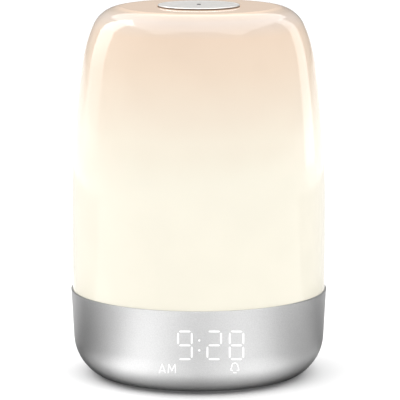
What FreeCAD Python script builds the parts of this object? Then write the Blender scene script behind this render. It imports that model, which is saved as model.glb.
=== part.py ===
import FreeCAD, Part
import math
import os
from collections import namedtuple

import Sketcher
from FreeCAD import Placement, Rotation, Vector

# A sunrise alarm clock: a silver round base that holds the clock, and a tall opal dome that glows.
# Millimetres, +Z up, -Y towards the reader. The origin is on the table, under the middle of the base.
# The time shines through the front of the base. Five keys and the power socket are at the back.

SIZES = [
    # The base, a cup whose side leans in towards the table and turns under in a round corner
    ("foot_reveal", 1.0, "gap under the base that the rubber feet leave"),
    ("rim_radius", 55.0, "outer radius of the base at its rim"),
    ("base_height", 36.3, "underside of the base to its rim"),
    ("side_draft", 3.1, "lean of the base's side, degrees"),
    ("corner_height", 16.4, "centre of the base's round corner above its underside"),
    ("corner_radius", 19.0, "radius of the base's round corner"),
    ("edge_radius", 2.0, "small radius where the corner meets the underside"),
    ("base_wall", 2.0, "wall of the base"),
    ("edge_break", 0.3, "chamfer on the edges of small moulded pieces"),
    ("rim_chamfer", 0.3, "chamfer on the outer edge of the rim"),
    ("opening_inset", 13.5, "rim radius in to the opening in the base's underside"),
    ("seat_width", 2.0, "width of the seat that stops the bottom cover"),
    ("seat_thickness", 2.0, "thickness of that seat"),
    ("ledge_drop", 6.0, "rim down to the ledge that carries the frame"),
    ("ledge_width", 2.1, "width of that ledge"),
    ("ledge_thickness", 1.2, "thickness of that ledge"),
    ("fit_gap", 0.3, "gap round a piece that drops into place"),
    ("slide_gap", 0.25, "gap round a key or button"),
    ("thread_gap", 0.05, "gap between a screw and its pilot hole"),
    # The dome
    ("dome_step", 0.7, "step from the rim of the base in to the dome"),
    ("dome_wall", 2.4, "wall of the dome"),
    ("dome_height", 121.1, "rim of the base to the flat top of the dome"),
    ("lean_start", 34.7, "rim of the base to where the dome starts to lean in"),
    ("lean_height", 63.0, "height of the slow lean"),
    ("side_radius", 413.0, "radius of the slow lean"),
    ("neck_radius", 60.0, "radius above the slow lean"),
    ("shoulder_radius", 13.2, "radius of the dome's shoulder"),
    ("spigot_wall", 2.0, "wall of the spigot"),
    ("spigot_rise", 1.2, "height of the spigot's inner step above the rim"),
    ("crown_pad_margin", 0.4, "how far the thicker top reaches past the cup's flange"),
    ("crown_pad_drop", 2.0, "how much thicker the top is there"),
    ("dome_boss_inset", 4.2, "spigot in to the ring of the dome's screw bosses"),
    ("dome_boss_radius", 2.8, "radius of a dome screw boss"),
    ("dome_boss_height", 6.0, "height of a dome screw boss"),
    # The round press plate on the dome
    ("button_radius", 17.5, "radius of the metal press plate"),
    ("button_plate", 1.2, "thickness of the metal press plate"),
    ("button_proud", 0.8, "how far the press plate stands above the dome"),
    ("button_chamfer", 0.3, "chamfer on the press plate's edge"),
    ("button_gap", 0.4, "gap round the press plate"),
    ("button_travel", 0.7, "travel of the press plate"),
    ("mark_length", 5.0, "length of the index mark on the press plate"),
    ("mark_width", 1.7, "width of the index mark"),
    ("mark_depth", 0.2, "depth of the index mark"),
    ("carrier_top", 1.6, "thickness of the plate carrier's top"),
    ("carrier_wall", 1.4, "wall of the plate carrier's skirt"),
    ("carrier_skirt", 9.4, "height of the plate carrier's skirt"),
    ("carrier_post", 3.0, "radius of the carrier's middle post"),
    ("hook_reach", 1.9, "how far a carrier hook stands out of the skirt"),
    ("hook_width", 7.0, "width of a carrier hook"),
    ("hook_height", 1.5, "height of a carrier hook"),
    # The cup under the press plate, with its switch, and the tube that brings the ribbon up
    ("cup_clearance", 2.9, "press plate out to the wall of the switch cup"),
    ("cup_wall", 1.6, "wall of the switch cup"),
    ("cup_flange_width", 4.6, "width of the cup's flange"),
    ("cup_flange", 1.6, "thickness of the cup's flange"),
    ("cup_depth", 11.6, "flange to the underside of the cup's floor"),
    ("cup_screw_offset", 2.3, "cup out to the ring of its screws"),
    ("switch_board_radius", 12.0, "radius of the switch board"),
    ("switch_body", 6.0, "side of a tactile switch"),
    ("switch_height", 3.5, "height of a tactile switch's body"),
    ("plunger_radius", 1.7, "radius of a tactile switch's plunger"),
    ("plunger_stand", 1.5, "how far the plunger stands out of its switch"),
    ("plunger_root", 1.2, "length of the plunger inside its switch"),
    ("plunger_gap", 0.1, "gap round the plunger"),
    ("plunger_spare", 0.2, "room left under the plunger at the end of its travel"),
    ("tube_radius", 4.0, "outer radius of the cable tube"),
    ("tube_wall", 1.0, "wall of the cable tube"),
    ("socket_depth", 5.0, "depth of the cup's socket round the tube"),
    ("socket_wall", 1.4, "wall of that socket"),
    ("ribbon_width", 4.0, "width of the switch ribbon"),
    ("ribbon_thickness", 0.4, "thickness of the switch ribbon"),
    # The inner frame that carries the boards, and the light engine on top of it
    ("board_thickness", 1.6, "thickness of a circuit board"),
    ("frame_thickness", 2.0, "thickness of the inner frame's plate"),
    ("frame_hole", 6.0, "radius of the frame's middle hole"),
    ("post_inset", 6.5, "opening in to the ring of the four long posts"),
    ("post_radius", 3.5, "radius of a long post"),
    ("post_root_radius", 4.6, "radius of a long post where it meets the plate"),
    ("board_hang", 10.3, "plate of the frame down to the main board"),
    ("board_boss_inset", 9.5, "main board's front edge in to the ring of its bosses"),
    ("board_boss_radius", 3.0, "radius of a main board boss"),
    ("light_inset", 11.4, "frame in to the light board"),
    ("light_screw_ring_radius", 26.0, "radius on which the light board's screws lie"),
    ("light_boss_depth", 3.0, "depth of a light board boss under the plate"),
    ("warm_inset", 8.5, "light board in to the ring of warm lamps"),
    ("colour_ring_radius", 19.5, "radius of the ring of colour lamps"),
    ("lamp_side", 3.5, "side of a lamp"),
    ("lamp_height", 1.4, "height of a lamp"),
    ("lamp_window", 3.3, "radius of a lamp's hole in the reflector"),
    ("reflector_thickness", 1.0, "thickness of the reflector"),
    ("reflector_margin", 0.5, "light board out to the end of the reflector's flat floor"),
    ("reflector_flare", 3.1, "width of the reflector's sloping edge"),
    ("reflector_rise", 5.5, "height of the reflector's sloping edge"),
    # The main board, the time display and the keys
    ("main_inset", 8.0, "rim radius in to the main board"),
    ("chip_side", 10.0, "side of the controller chip"),
    ("chip_height", 1.6, "height of the controller chip"),
    ("capacitor_radius", 3.2, "radius of a board capacitor"),
    ("capacitor_height", 7.0, "height of a board capacitor"),
    ("display_inset", 15.6, "rim radius in to the front face of the display board"),
    ("display_board_half", 28.0, "half the width of the display board"),
    ("display_drop", 1.3, "ledge down to the top of the display block"),
    ("display_tall", 21.0, "height of the display block"),
    ("board_margin", 1.0, "display board past the display block"),
    ("display_half", 27.0, "half the width of the display block"),
    ("window_wall", 0.8, "wall left in front of the display"),
    ("window_angle", 68.0, "angle of the thin window, degrees"),
    ("display_gap", 0.2, "gap between display block and window"),
    ("digit_drop", 7.05, "top of the display block down to the middle of the digits"),
    ("digit_height", 12.8, "height of a digit"),
    ("digit_width", 6.7, "width of a digit"),
    ("segment_width", 0.95, "width of one bar of a digit"),
    ("segment_gap", 0.15, "gap at the ends of a bar"),
    ("digit_pitch", 9.4, "pitch of two neighbour digits"),
    ("colon_pitch", 12.1, "pitch of the two digits beside the colon"),
    ("colon_rise", 2.1, "height of a colon dot above the middle of the digits"),
    ("dot_radius", 0.6, "radius of a colon dot"),
    ("sign_drop", 17.0, "top of the display block down to the small signs' middle"),
    ("sign_height", 4.8, "height of the wells of the small signs"),
    ("morning_across", -12.9, "place of the morning sign, left of the middle"),
    ("morning_width", 7.6, "width of the morning sign's well"),
    ("bell_across", 15.0, "place of the bell sign"),
    ("bell_width", 4.6, "width of the bell sign's well"),
    ("chip_dot_radius", 0.45, "radius of a display lamp"),
    ("chip_dot_height", 0.6, "height of a display lamp"),
    ("header_width", 16.0, "width of the header between the boards"),
    ("header_depth", 3.8, "depth of that header"),
    ("header_height", 2.5, "height of that header"),
    ("key_drop", 5.9, "ledge down to the middle of the keys"),
    ("key_pitch", 9.5, "pitch of the keys"),
    ("key_radius", 3.0, "radius of a key"),
    ("key_proud", 0.4, "how far a key stands out of the base"),
    ("key_round", 0.35, "rounding of a key's outer edge"),
    ("key_flange", 3.9, "radius of a key's inner flange"),
    ("key_flange_thickness", 1.2, "thickness of that flange"),
    ("key_stem", 2.0, "radius of a key's stem"),
    ("key_travel", 0.6, "travel of a key"),
    ("key_board_inset", 16.0, "rim radius in to the rear face of the key board"),
    ("key_board_half", 24.0, "half the width of the key board"),
    ("key_board_height", 10.0, "height of the key board"),
    # The power socket at the back
    ("jack_width", 9.0, "width of the power socket"),
    ("jack_height", 11.0, "height of the power socket"),
    ("jack_length", 13.8, "length of the power socket"),
    ("jack_inset", 7.5, "rim radius in to the mouth of the power socket"),
    ("jack_drop", 6.4, "main board down to the middle of the power socket"),
    ("jack_bore", 3.1, "radius of the socket's bore"),
    ("jack_bore_depth", 9.5, "depth of the socket's bore"),
    ("jack_pin_radius", 1.0, "radius of the socket's pin"),
    ("jack_pin_length", 8.5, "length of the socket's pin"),
    ("inlet_radius", 4.6, "radius of the inlet in the base"),
    ("inlet_wall", 1.2, "wall of the tube round the inlet"),
    # The bottom cover and what it carries
    ("cover_thickness", 2.2, "thickness of the bottom cover"),
    ("cover_boss_radius", 4.2, "radius of a boss on the cover"),
    ("cover_boss_height", 2.0, "height of a boss on the cover"),
    ("foot_inset", 6.0, "opening in to the ring of the feet"),
    ("foot_radius", 4.5, "radius of a foot"),
    ("foot_recess", 1.0, "depth of a foot's recess"),
    ("foot_crown", 0.4, "chamfer on a foot"),
    ("grille_hole", 1.1, "radius of a hole in the speaker grille"),
    ("grille_pitch", 4.3, "pitch of the rings of holes"),
    ("speaker_across", -16.0, "place of the speaker, left of the middle"),
    ("speaker_radius", 18.0, "outer radius of the speaker"),
    ("speaker_rim", 4.0, "width of the speaker's rim"),
    ("gasket_thickness", 0.6, "thickness of the speaker's gasket"),
    ("cone_thickness", 0.3, "thickness of the speaker's cone"),
    ("cone_rise", 4.0, "height of the speaker's cone"),
    ("cone_cap", 4.5, "radius of the cone's dust cap"),
    ("basket_flange", 1.2, "thickness of the speaker basket's rim"),
    ("basket_height", 8.0, "height of the speaker's basket"),
    ("basket_wall", 1.0, "wall of the speaker's basket"),
    ("magnet_radius", 11.0, "radius of the speaker's magnet"),
    ("magnet_height", 4.0, "height of the speaker's magnet"),
    ("wide_head", 2.6, "radius of the speaker screws' heads"),
    ("speaker_screw_offset", 2.2, "speaker out to the ring of its screws"),
    ("cell_across", 19.5, "place of the backup cell, right of the middle"),
    ("cell_radius", 10.0, "radius of the backup cell"),
    ("cell_height", 3.2, "height of the backup cell"),
    ("door_margin", 2.5, "backup cell out to the edge of its door"),
    ("door_thickness", 1.8, "thickness of the cell door"),
    ("door_lug", 1.1, "how far a lug stands out of the cell door"),
    ("door_lug_height", 0.8, "height of a lug"),
    ("door_lug_width", 6.0, "width of a lug"),
    ("door_turn", 40.0, "turn that opens the cell door, degrees"),
    ("coin_slot_length", 13.0, "length of the coin slot"),
    ("coin_slot_width", 1.8, "width of the coin slot"),
    ("coin_slot_depth", 0.8, "depth of the coin slot"),
    ("holder_wall", 5.2, "wall of the cell holder"),
    ("holder_height", 5.0, "height of the cell holder"),
    ("holder_roof", 1.2, "roof of the cell holder"),
    ("spring_strip", 0.3, "thickness of the cell's spring strip"),
    ("spring_width", 5.0, "width of the cell's spring strip"),
    ("spring_length", 16.0, "length of the cell's spring strip"),
    ("clip_width", 4.0, "width of the cell's side clip"),
    ("clip_thickness", 0.4, "thickness of the cell's side clip"),
    # Screws
    ("large_screw", 1.45, "radius of the long cover screws"),
    ("large_head", 2.6, "radius of their heads"),
    ("large_head_height", 1.6, "height of their heads"),
    ("large_screw_length", 13.0, "length of the long cover screws"),
    ("small_screw", 1.1, "radius of the small screws"),
    ("small_head", 2.1, "radius of their heads"),
    ("small_head_height", 1.3, "height of their heads"),
    ("small_screw_length", 5.0, "length of the small screws"),
    ("short_screw_length", 4.6, "length of the shortest screws"),
]

POST_ANGLES = [60.0, 120.0, 240.0, 300.0]
FOOT_ANGLES = [30.0, 150.0, 210.0, 330.0]
BOARD_BOSS_ANGLES = [35.0, 125.0, 270.0]
LIGHT_SCREW_ANGLES = [60.0, 180.0, 300.0]
DOME_SCREW_ANGLES = [90.0, 210.0, 330.0]
CUP_SCREW_ANGLES = [30.0, 150.0, 270.0]
SPEAKER_SCREW_ANGLES = [60.0, 180.0, 300.0]
WARM_LAMPS = 12
COLOUR_LAMPS = 6
GRILLE_RINGS = 3
HOLES_PER_RING = 6
KEYS = ["set", "down", "alarm", "up", "sound"]


class Size:
    """A size with its value and the sheet formula that gives it, so that sums of sizes stay formulas."""

    def __init__(self, value, formula):
        self.value = value
        self.formula = formula

    def _join(self, other, sign, value):
        formula = other.formula if isinstance(other, Size) else repr(float(other))
        return Size(value, "(%s %s %s)" % (self.formula, sign, formula))

    def __add__(self, other):
        return self._join(other, "+", self.value + worth(other))

    def __sub__(self, other):
        return self._join(other, "-", self.value - worth(other))

    def __mul__(self, other):
        return self._join(other, "*", self.value * worth(other))

    def __truediv__(self, other):
        return self._join(other, "/", self.value / worth(other))

    def __rsub__(self, other):
        return Size(other - self.value, "(%r - %s)" % (float(other), self.formula))

    def __neg__(self):
        return Size(-self.value, "(-%s)" % self.formula)


def worth(size):
    """The number that a size stands for."""
    return size.value if isinstance(size, Size) else float(size)


def root(size):
    return Size(math.sqrt(size.value), "sqrt(%s)" % size.formula)


def sine(angle):
    return Size(math.sin(math.radians(angle.value)), "sin(%s)" % angle.formula)


def cosine(angle):
    return Size(math.cos(math.radians(angle.value)), "cos(%s)" % angle.formula)


def polar(radius, angle):
    """Across and deep of a point on a circle, at an angle in degrees."""
    turn = Size(float(angle), repr(float(angle)))
    return radius * cosine(turn), radius * sine(turn)


class Sheet:
    """A spreadsheet. The aliases of all the sheets read as attributes of any of them."""

    known = {}

    def __init__(self, doc, name):
        self.name = name
        self.cells = doc.addObject("Spreadsheet::Sheet", name)
        self.row = 0

    def write(self, alias, value, text, note):
        self.row += 1
        self.cells.set("A%d" % self.row, alias)
        self.cells.set("B%d" % self.row, text)
        self.cells.set("C%d" % self.row, note)
        self.cells.setAlias("B%d" % self.row, alias)
        self.known[alias] = Size(value, "%s.%s" % (self.name, alias))
        return self.known[alias]

    def __getattr__(self, alias):
        return self.known[alias]


doc = FreeCAD.newDocument("sunrise_alarm_clock")
s = Sheet(doc, "Sizes")
for size_name, size_value, size_note in SIZES:
    s.write(size_name, size_value, str(size_value), size_note)
places = Sheet(doc, "Places")
doc.recompute()


def place(alias, size, note):
    """Keeps a worked-out place as a formula with a name of its own."""
    return places.write(alias, size.value, "=" + size.formula, note)


def bind(thing, path, size):
    """Sets a property, tied to the sheet where the value is a Size."""
    if isinstance(size, Size):
        thing.setExpression(path, size.formula)
    else:
        target, _, last = path.rpartition(".")
        assert not target, path
        setattr(thing, last, size)


# Heights and places that several pieces share

underside = place("underside", s.foot_reveal + 0.0, "underside of the base")
rim_top = place("rim_top", s.foot_reveal + s.base_height, "rim of the base")
cover_top = place("cover_top", underside + s.cover_thickness, "inner face of the bottom cover")
boss_top = place("boss_top", cover_top + s.cover_boss_height, "top of the cover's bosses")
ledge_top = place("ledge_top", rim_top - s.ledge_drop, "ledge that carries the frame")
frame_top = place("frame_top", ledge_top + s.frame_thickness, "top of the frame's plate")
main_top = place("main_top", ledge_top - s.board_hang, "top of the main board")
main_under = place("main_under", main_top - s.board_thickness, "underside of the main board")
light_top = place("light_top", frame_top + s.board_thickness, "top of the light board")
crown_top = place("crown_top", rim_top + s.dome_height, "flat top of the dome")
crown_under = place("crown_under", crown_top - s.dome_wall, "inside of the dome's top")
pad_under = place("pad_under", crown_under - s.crown_pad_drop, "underside of the dome's thicker top")
cup_under = place("cup_under", pad_under - s.cup_depth, "underside of the switch cup's floor")
cup_floor = place("cup_floor", cup_under + s.cup_wall, "floor of the switch cup")
switch_base = place("switch_base", cup_floor + s.board_thickness, "top of the switch board")
switch_top = place("switch_top", switch_base + s.switch_height, "top of the top switch's body")
plunger_top = place("plunger_top", switch_top + s.plunger_stand, "top of the top switch's plunger")
plate_under = place("plate_under", crown_top + s.button_proud - s.button_plate, "underside of the press plate")
jack_middle = place("jack_middle", main_under - s.jack_drop, "middle of the power socket")
door_top = place("door_top", underside + s.door_thickness, "top of the cell door")
cell_top = place("cell_top", door_top + s.cell_height, "top of the backup cell")
roof_under = place("roof_under", cover_top + s.holder_height - s.holder_roof, "inside of the cell holder's roof")

# The base's outline: two arcs, the big one tangent to the leaning side, the small one to the underside
draft_sine = place("draft_sine", sine(s.side_draft), "sine of the side's lean")
draft_cosine = place("draft_cosine", cosine(s.side_draft), "cosine of the side's lean")
corner_up = place("corner_up", underside + s.corner_height, "centre of the big corner arc, up")
corner_out = place(
    "corner_out",
    s.rim_radius - (rim_top - corner_up) * (draft_sine / draft_cosine) - s.corner_radius / draft_cosine,
    "centre of the big corner arc, out",
)
edge_up = place("edge_up", underside + s.edge_radius, "centre of the small edge arc, up")
edge_span = place("edge_span", s.corner_radius - s.edge_radius, "distance between the two centres")
edge_out = place(
    "edge_out",
    corner_out + root(edge_span * edge_span - (corner_up - edge_up) * (corner_up - edge_up)),
    "centre of the small edge arc, out",
)

# Radii that follow the rim, each with an inset of its own
ledge_wall = place(
    "ledge_wall",
    s.rim_radius - s.ledge_drop * (draft_sine / draft_cosine) - s.base_wall / draft_cosine,
    "inner wall of the base at its ledge",
)
place("ledge_radius", ledge_wall - s.ledge_width, "inner radius of the ledge")
place("frame_radius", ledge_wall - s.fit_gap, "outer radius of the inner frame")
place("dome_radius", s.rim_radius - s.dome_step, "outer radius of the dome at its foot")
place("spigot_radius", ledge_wall - s.fit_gap, "outer radius of the dome's spigot inside the base")
place("dome_boss_ring_radius", s.spigot_radius - s.dome_boss_inset, "ring of the dome's screw bosses")
place("opening_radius", s.rim_radius - s.opening_inset, "opening in the base's underside")
place("seat_radius", s.opening_radius - s.seat_width, "inner radius of the cover's seat")
place("post_ring_radius", s.opening_radius - s.post_inset, "ring of the four long posts")
place("foot_ring_radius", s.opening_radius - s.foot_inset, "ring of the feet")
place("main_radius", s.rim_radius - s.main_inset, "outer radius of the main board")
place("display_board_front", s.rim_radius - s.display_inset, "front face of the display board")
place("main_front", s.display_board_front - s.board_thickness - s.fit_gap, "front edge of the main board")
place("key_board_face", s.rim_radius - s.key_board_inset, "rear face of the key board")
place("jack_face", s.rim_radius - s.jack_inset, "mouth of the power socket")
place("light_radius", s.frame_radius - s.light_inset, "radius of the light board")
place("warm_ring_radius", s.light_radius - s.warm_inset, "ring of warm lamps")
place("reflector_floor", s.light_radius + s.reflector_margin, "radius of the reflector's flat floor")
place("reflector_edge", s.reflector_floor + s.reflector_flare, "outer radius of the reflector")
place("board_boss_ring_radius", s.main_front - s.board_boss_inset, "ring of the main board's bosses")
place("cup_radius", s.button_radius + s.cup_clearance, "outer radius of the switch cup")
place("cup_flange_radius", s.cup_radius + s.cup_flange_width, "outer radius of the cup's flange")
place("cup_screw_ring_radius", s.cup_radius + s.cup_screw_offset, "ring of the cup's screws")
place("speaker_mouth", s.speaker_radius - s.speaker_rim, "inner radius of the speaker's rim")
place("speaker_screw_ring_radius", s.speaker_radius + s.speaker_screw_offset, "ring of the speaker's screws")
place("door_radius", s.cell_radius + s.door_margin, "radius of the cell door")
place("crown_pad_radius", s.cup_flange_radius + s.crown_pad_margin, "radius of the dome's thicker top")

# Heights that hang from the ledge
place("key_height", ledge_top - s.key_drop, "middle of the keys")
place("display_high", ledge_top - s.display_drop, "top of the display block")
place("display_low", s.display_high - s.display_tall, "underside of the display block")
place("digit_middle", s.display_high - s.digit_drop, "middle of the digits")
place("sign_middle", s.display_high - s.sign_drop, "middle of the small signs")

# The dome's outline: upright, then a slow lean, a closer neck and the shoulder, all tangent
lean_up = place("lean_up", rim_top + s.lean_start, "where the dome starts to lean in")
lean_out = place("lean_out", s.dome_radius - s.side_radius, "centre of the slow lean, out")
lean_sine = place("lean_sine", s.lean_height / s.side_radius, "sine of the slow lean's angle")
lean_cosine = place("lean_cosine", root(1.0 - lean_sine * lean_sine), "cosine of that angle")
neck_out = place("neck_out", lean_out + (s.side_radius - s.neck_radius) * lean_cosine, "centre of the neck, out")
neck_up = place("neck_up", lean_up + (s.side_radius - s.neck_radius) * lean_sine, "centre of the neck, up")
shoulder_up = place("shoulder_up", crown_top - s.shoulder_radius, "centre of the shoulder, up")
neck_span = place("neck_span", s.neck_radius - s.shoulder_radius, "distance between those two centres")
shoulder_out = place(
    "shoulder_out",
    neck_out + root(neck_span * neck_span - (shoulder_up - neck_up) * (shoulder_up - neck_up)),
    "centre of the shoulder, out",
)
doc.recompute()

# A corner of an outline. bend tells how the run to the next corner curves: its centre, its radius, and +1 or -1
Corner = namedtuple("Corner", "across up bend", defaults=[None])


def base_side(inset, high, low):
    """The base's outer line moved inwards by inset, from one height down to another on the big corner."""
    reach = s.corner_radius - inset
    start = s.rim_radius - (rim_top - high) * (draft_sine / draft_cosine) - inset / draft_cosine
    drop = corner_up - low
    return [
        Corner(start, high),
        Corner(corner_out + reach * draft_cosine, corner_up - reach * draft_sine, (corner_out, corner_up, reach, -1)),
        Corner(corner_out + root(reach * reach - drop * drop), low),
    ]


def base_skin():
    """The whole outer line of the base, from its rim to its underside."""
    meet_out = corner_out + (edge_out - corner_out) * (s.corner_radius / edge_span)
    meet_up = corner_up + (edge_up - corner_up) * (s.corner_radius / edge_span)
    leaning = base_side(Size(0.0, "0.0"), rim_top - s.rim_chamfer, corner_up)
    return leaning[:2] + [
        Corner(meet_out, meet_up, (edge_out, edge_up, s.edge_radius, -1)),
        Corner(edge_out, underside),
    ]


def dome_line(inset):
    """The dome's outer line moved inwards by inset, from where it leans in to its flat top."""
    lean = s.side_radius - inset
    neck = s.neck_radius - inset
    shoulder = s.shoulder_radius - inset
    way_out = (shoulder_out - neck_out) / neck_span
    way_up = (shoulder_up - neck_up) / neck_span
    return [
        Corner(s.dome_radius - inset, lean_up, (lean_out, lean_up, lean, 1)),
        Corner(lean_out + lean * lean_cosine, lean_up + lean * lean_sine, (neck_out, neck_up, neck, 1)),
        Corner(neck_out + neck * way_out, neck_up + neck * way_up, (shoulder_out, shoulder_up, shoulder, 1)),
        Corner(shoulder_out, crown_top - inset),
    ]


# Sketches

def plane_of(body, role):
    return [p for p in body.Origin.OriginFeatures if p.Role == role][0]


def new_sketch(owner, name, role, lift=None):
    """A sketch on one of its body's planes, lifted along that plane's normal. Without a body it is free, flat on XY."""
    if owner is None:
        sketch = doc.addObject("Sketcher::SketchObject", name)
        if lift is not None:
            bind(sketch, "Placement.Base.z", lift)
        return sketch
    sketch = owner.newObject("Sketcher::SketchObject", name)
    sketch.AttachmentSupport = [(plane_of(owner, role), "")]
    sketch.MapMode = "FlatFace"
    if lift is not None:
        bind(sketch, "AttachmentOffset.Base.z", lift)
    return sketch


def pin_way(rules, formulas, geometry, end, size, kind, axis):
    """Ties a point of the sketch to one distance from the origin."""
    value = worth(size)
    if value == 0.0:
        rules.append(Sketcher.Constraint("PointOnObject", geometry, end, axis))
        return
    if isinstance(size, Size):
        formulas[len(rules)] = size.formula if value > 0 else "-(%s)" % size.formula
    if value > 0:
        rules.append(Sketcher.Constraint(kind, -1, 1, geometry, end, value))
    else:
        rules.append(Sketcher.Constraint(kind, geometry, end, -1, 1, -value))


def pin_height(rules, formulas, geometry, end, up):
    pin_way(rules, formulas, geometry, end, up, "DistanceY", -1)


def pin_point(rules, formulas, geometry, end, across, up):
    """Ties a point of the sketch to both of its distances from the origin."""
    pin_way(rules, formulas, geometry, end, across, "DistanceX", -2)
    pin_height(rules, formulas, geometry, end, up)


def draw(sketch, outlines=(), rounds=()):
    """Draws closed outlines, each a list of corners, and circles, each (across, up, radius), all tied to the sheet."""
    shapes, rules, formulas = [], [], {}
    for corners in outlines:
        first = len(shapes)
        count = len(corners)
        ends, a_to_b = [], []
        for i, corner in enumerate(corners):
            follower = corners[(i + 1) % count]
            a = Vector(worth(corner.across), worth(corner.up), 0)
            b = Vector(worth(follower.across), worth(follower.up), 0)
            a_to_b.append((b.x - a.x, b.y - a.y))
            if corner.bend is None:
                shapes.append(Part.LineSegment(a, b))
                ends.append((1, 2))
                continue
            out, up, radius, way = corner.bend
            middle = Vector(worth(out), worth(up), 0)
            circle = Part.Circle(middle, Vector(0, 0, 1), worth(radius))
            turns = [math.atan2(p.y - middle.y, p.x - middle.x) for p in (a, b)]
            if way < 0:
                turns.reverse()
            shapes.append(Part.ArcOfCircle(circle, turns[0], turns[1]))
            ends.append((1, 2) if way > 0 else (2, 1))
        for i, corner in enumerate(corners):
            after = (i + 1) % count
            rules.append(Sketcher.Constraint("Coincident", first + i, ends[i][1], first + after, ends[after][0]))
            pin_point(rules, formulas, first + i, ends[i][0], corner.across, corner.up)
            if corner.bend is None:
                continue
            out, up, radius, way = corner.bend
            if abs(math.hypot(a_to_b[i][0], a_to_b[i][1]) - 2.0 * worth(radius)) < 1e-6:
                # The ends of a half circle leave only its centre's place along the axis to be told
                pin_height(rules, formulas, first + i, 3, up)
                continue
            if isinstance(radius, Size):
                formulas[len(rules)] = radius.formula
            rules.append(Sketcher.Constraint("Radius", first + i, worth(radius)))
    for across, up, radius in rounds:
        index = len(shapes)
        shapes.append(Part.Circle(Vector(worth(across), worth(up), 0), Vector(0, 0, 1), worth(radius)))
        pin_point(rules, formulas, index, 3, across, up)
        if isinstance(radius, Size):
            formulas[len(rules)] = radius.formula
        rules.append(Sketcher.Constraint("Radius", index, worth(radius)))
    sketch.addGeometry(shapes, False)
    sketch.addConstraint(rules)
    for index, formula in formulas.items():
        sketch.setExpression("Constraints[%d]" % index, formula)
    return sketch


def rectangle(left, right, low, high):
    return [Corner(left, low), Corner(right, low), Corner(right, high), Corner(left, high)]


def steps(*points):
    """An outline with straight runs only."""
    return [Corner(across, up) for across, up in points]


# Pieces. Every finished piece is entered in nodes under the name of its file

nodes = {}


def new_body(label):
    body = doc.addObject("PartDesign::Body", label)
    nodes[label] = body
    return body


def feature(body, kind, sketch, length=None, back=False, through=False):
    """A Pad or Pocket from a sketch."""
    made = body.newObject("PartDesign::" + kind, "%s_%s" % (body.Name, kind))
    made.Profile = sketch
    if through:
        made.Type = 1
    elif length is not None:
        bind(made, "Length", length)
    made.Reversed = back
    body.Tip = made
    return made


def turned(body, kind, sketch, angle=None):
    """A Revolution or Groove about the sketch's upright axis: a full turn, or an angle centred on the sketch."""
    made = body.newObject("PartDesign::" + kind, "%s_%s" % (body.Name, kind))
    made.Profile = sketch
    made.ReferenceAxis = (sketch, ["V_Axis"])
    if angle is None:
        made.Angle = 360.0
    else:
        made.Midplane = True
        bind(made, "Angle", angle)
    body.Tip = made
    return made


def pattern_round(body, made, count):
    """Repeats a feature evenly round the body's upright axis."""
    pattern = body.newObject("PartDesign::PolarPattern", "%s_pattern" % body.Name)
    pattern.Originals = [made]
    axis = [a for a in body.Origin.OriginFeatures if a.Role == "Z_Axis"][0]
    pattern.Axis = (axis, [""])
    pattern.Angle = 360.0
    pattern.Occurrences = count
    body.Tip = pattern
    return pattern


def soften(body, kind, size, wanted):
    """Fillets or chamfers the edges of a body that wanted picks."""
    doc.recompute()
    base = body.Tip
    names = ["Edge%d" % (i + 1) for i, edge in enumerate(base.Shape.Edges) if wanted(edge)]
    made = body.newObject("PartDesign::" + kind, "%s_%s" % (body.Name, kind))
    made.Base = (base, names)
    bind(made, "Radius" if kind == "Fillet" else "Size", size)
    body.Tip = made


def is_ring(edge, radius, axis, level):
    """True for a round edge of a radius, at a level along an axis."""
    curve = edge.Curve
    if not isinstance(curve, Part.Circle) or abs(curve.Radius - worth(radius)) > 1e-4:
        return False
    return abs(getattr(curve.Center, axis) - worth(level)) < 1e-4


def spun(label, corners):
    """A piece that is one outline turned about the upright axis."""
    body = new_body(label)
    turned(body, "Revolution", draw(new_sketch(body, label + "_outline", "XZ_Plane"), [corners]))
    return body


def plate(label, lift, thickness, outlines=(), rounds=()):
    """A flat piece with holes, its underside at a height."""
    body = new_body(label)
    sketch = new_sketch(body, label + "_outline", "XY_Plane", lift)
    feature(body, "Pad", draw(sketch, outlines, rounds), thickness)
    return body


def shift(piece, across=None, deep=None, up=None):
    for axis, size in (("x", across), ("y", deep), ("z", up)):
        if size is not None:
            bind(piece, "Placement.Base." + axis, size)
    return piece


def slab(name, across, deep, up, width, depth, height):
    """A box by its lowest corner and its sides."""
    box = doc.addObject("Part::Box", name)
    for path, size in (("Length", width), ("Width", depth), ("Height", height)):
        bind(box, path, size)
    return shift(box, across, deep, up)


def rod(name, radius, length, across=None, deep=None, up=None, along_y=False):
    """A cylinder from a point, upwards, or backwards along +Y."""
    cylinder = doc.addObject("Part::Cylinder", name)
    if along_y:
        cylinder.Placement = Placement(Vector(), Rotation(Vector(1, 0, 0), -90))
    bind(cylinder, "Radius", radius)
    bind(cylinder, "Height", length)
    return shift(cylinder, across, deep, up)


def raised(name, lift, height, outlines=(), rounds=()):
    """Several separate solids of one height, drawn in one free sketch."""
    sketch = draw(new_sketch(None, name + "_outline", None, lift), outlines, rounds)
    made = doc.addObject("Part::Extrusion", name)
    made.Base = sketch
    made.DirMode = "Custom"
    made.Dir = Vector(0, 0, 1)
    made.Solid = True
    bind(made, "LengthFwd", height)
    return made


def cut(label, base, tool):
    made = doc.addObject("Part::Cut", label)
    made.Base = base
    made.Tool = tool
    return made


def fused(label, *pieces):
    made = doc.addObject("Part::MultiFuse", label)
    made.Shapes = list(pieces)
    return made


def spots(ring, angles, radius):
    """Circles of one radius at angles on a ring."""
    return [polar(ring, angle) + (radius,) for angle in angles]


def evenly(count):
    return [360.0 * i / count for i in range(count)]


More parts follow.
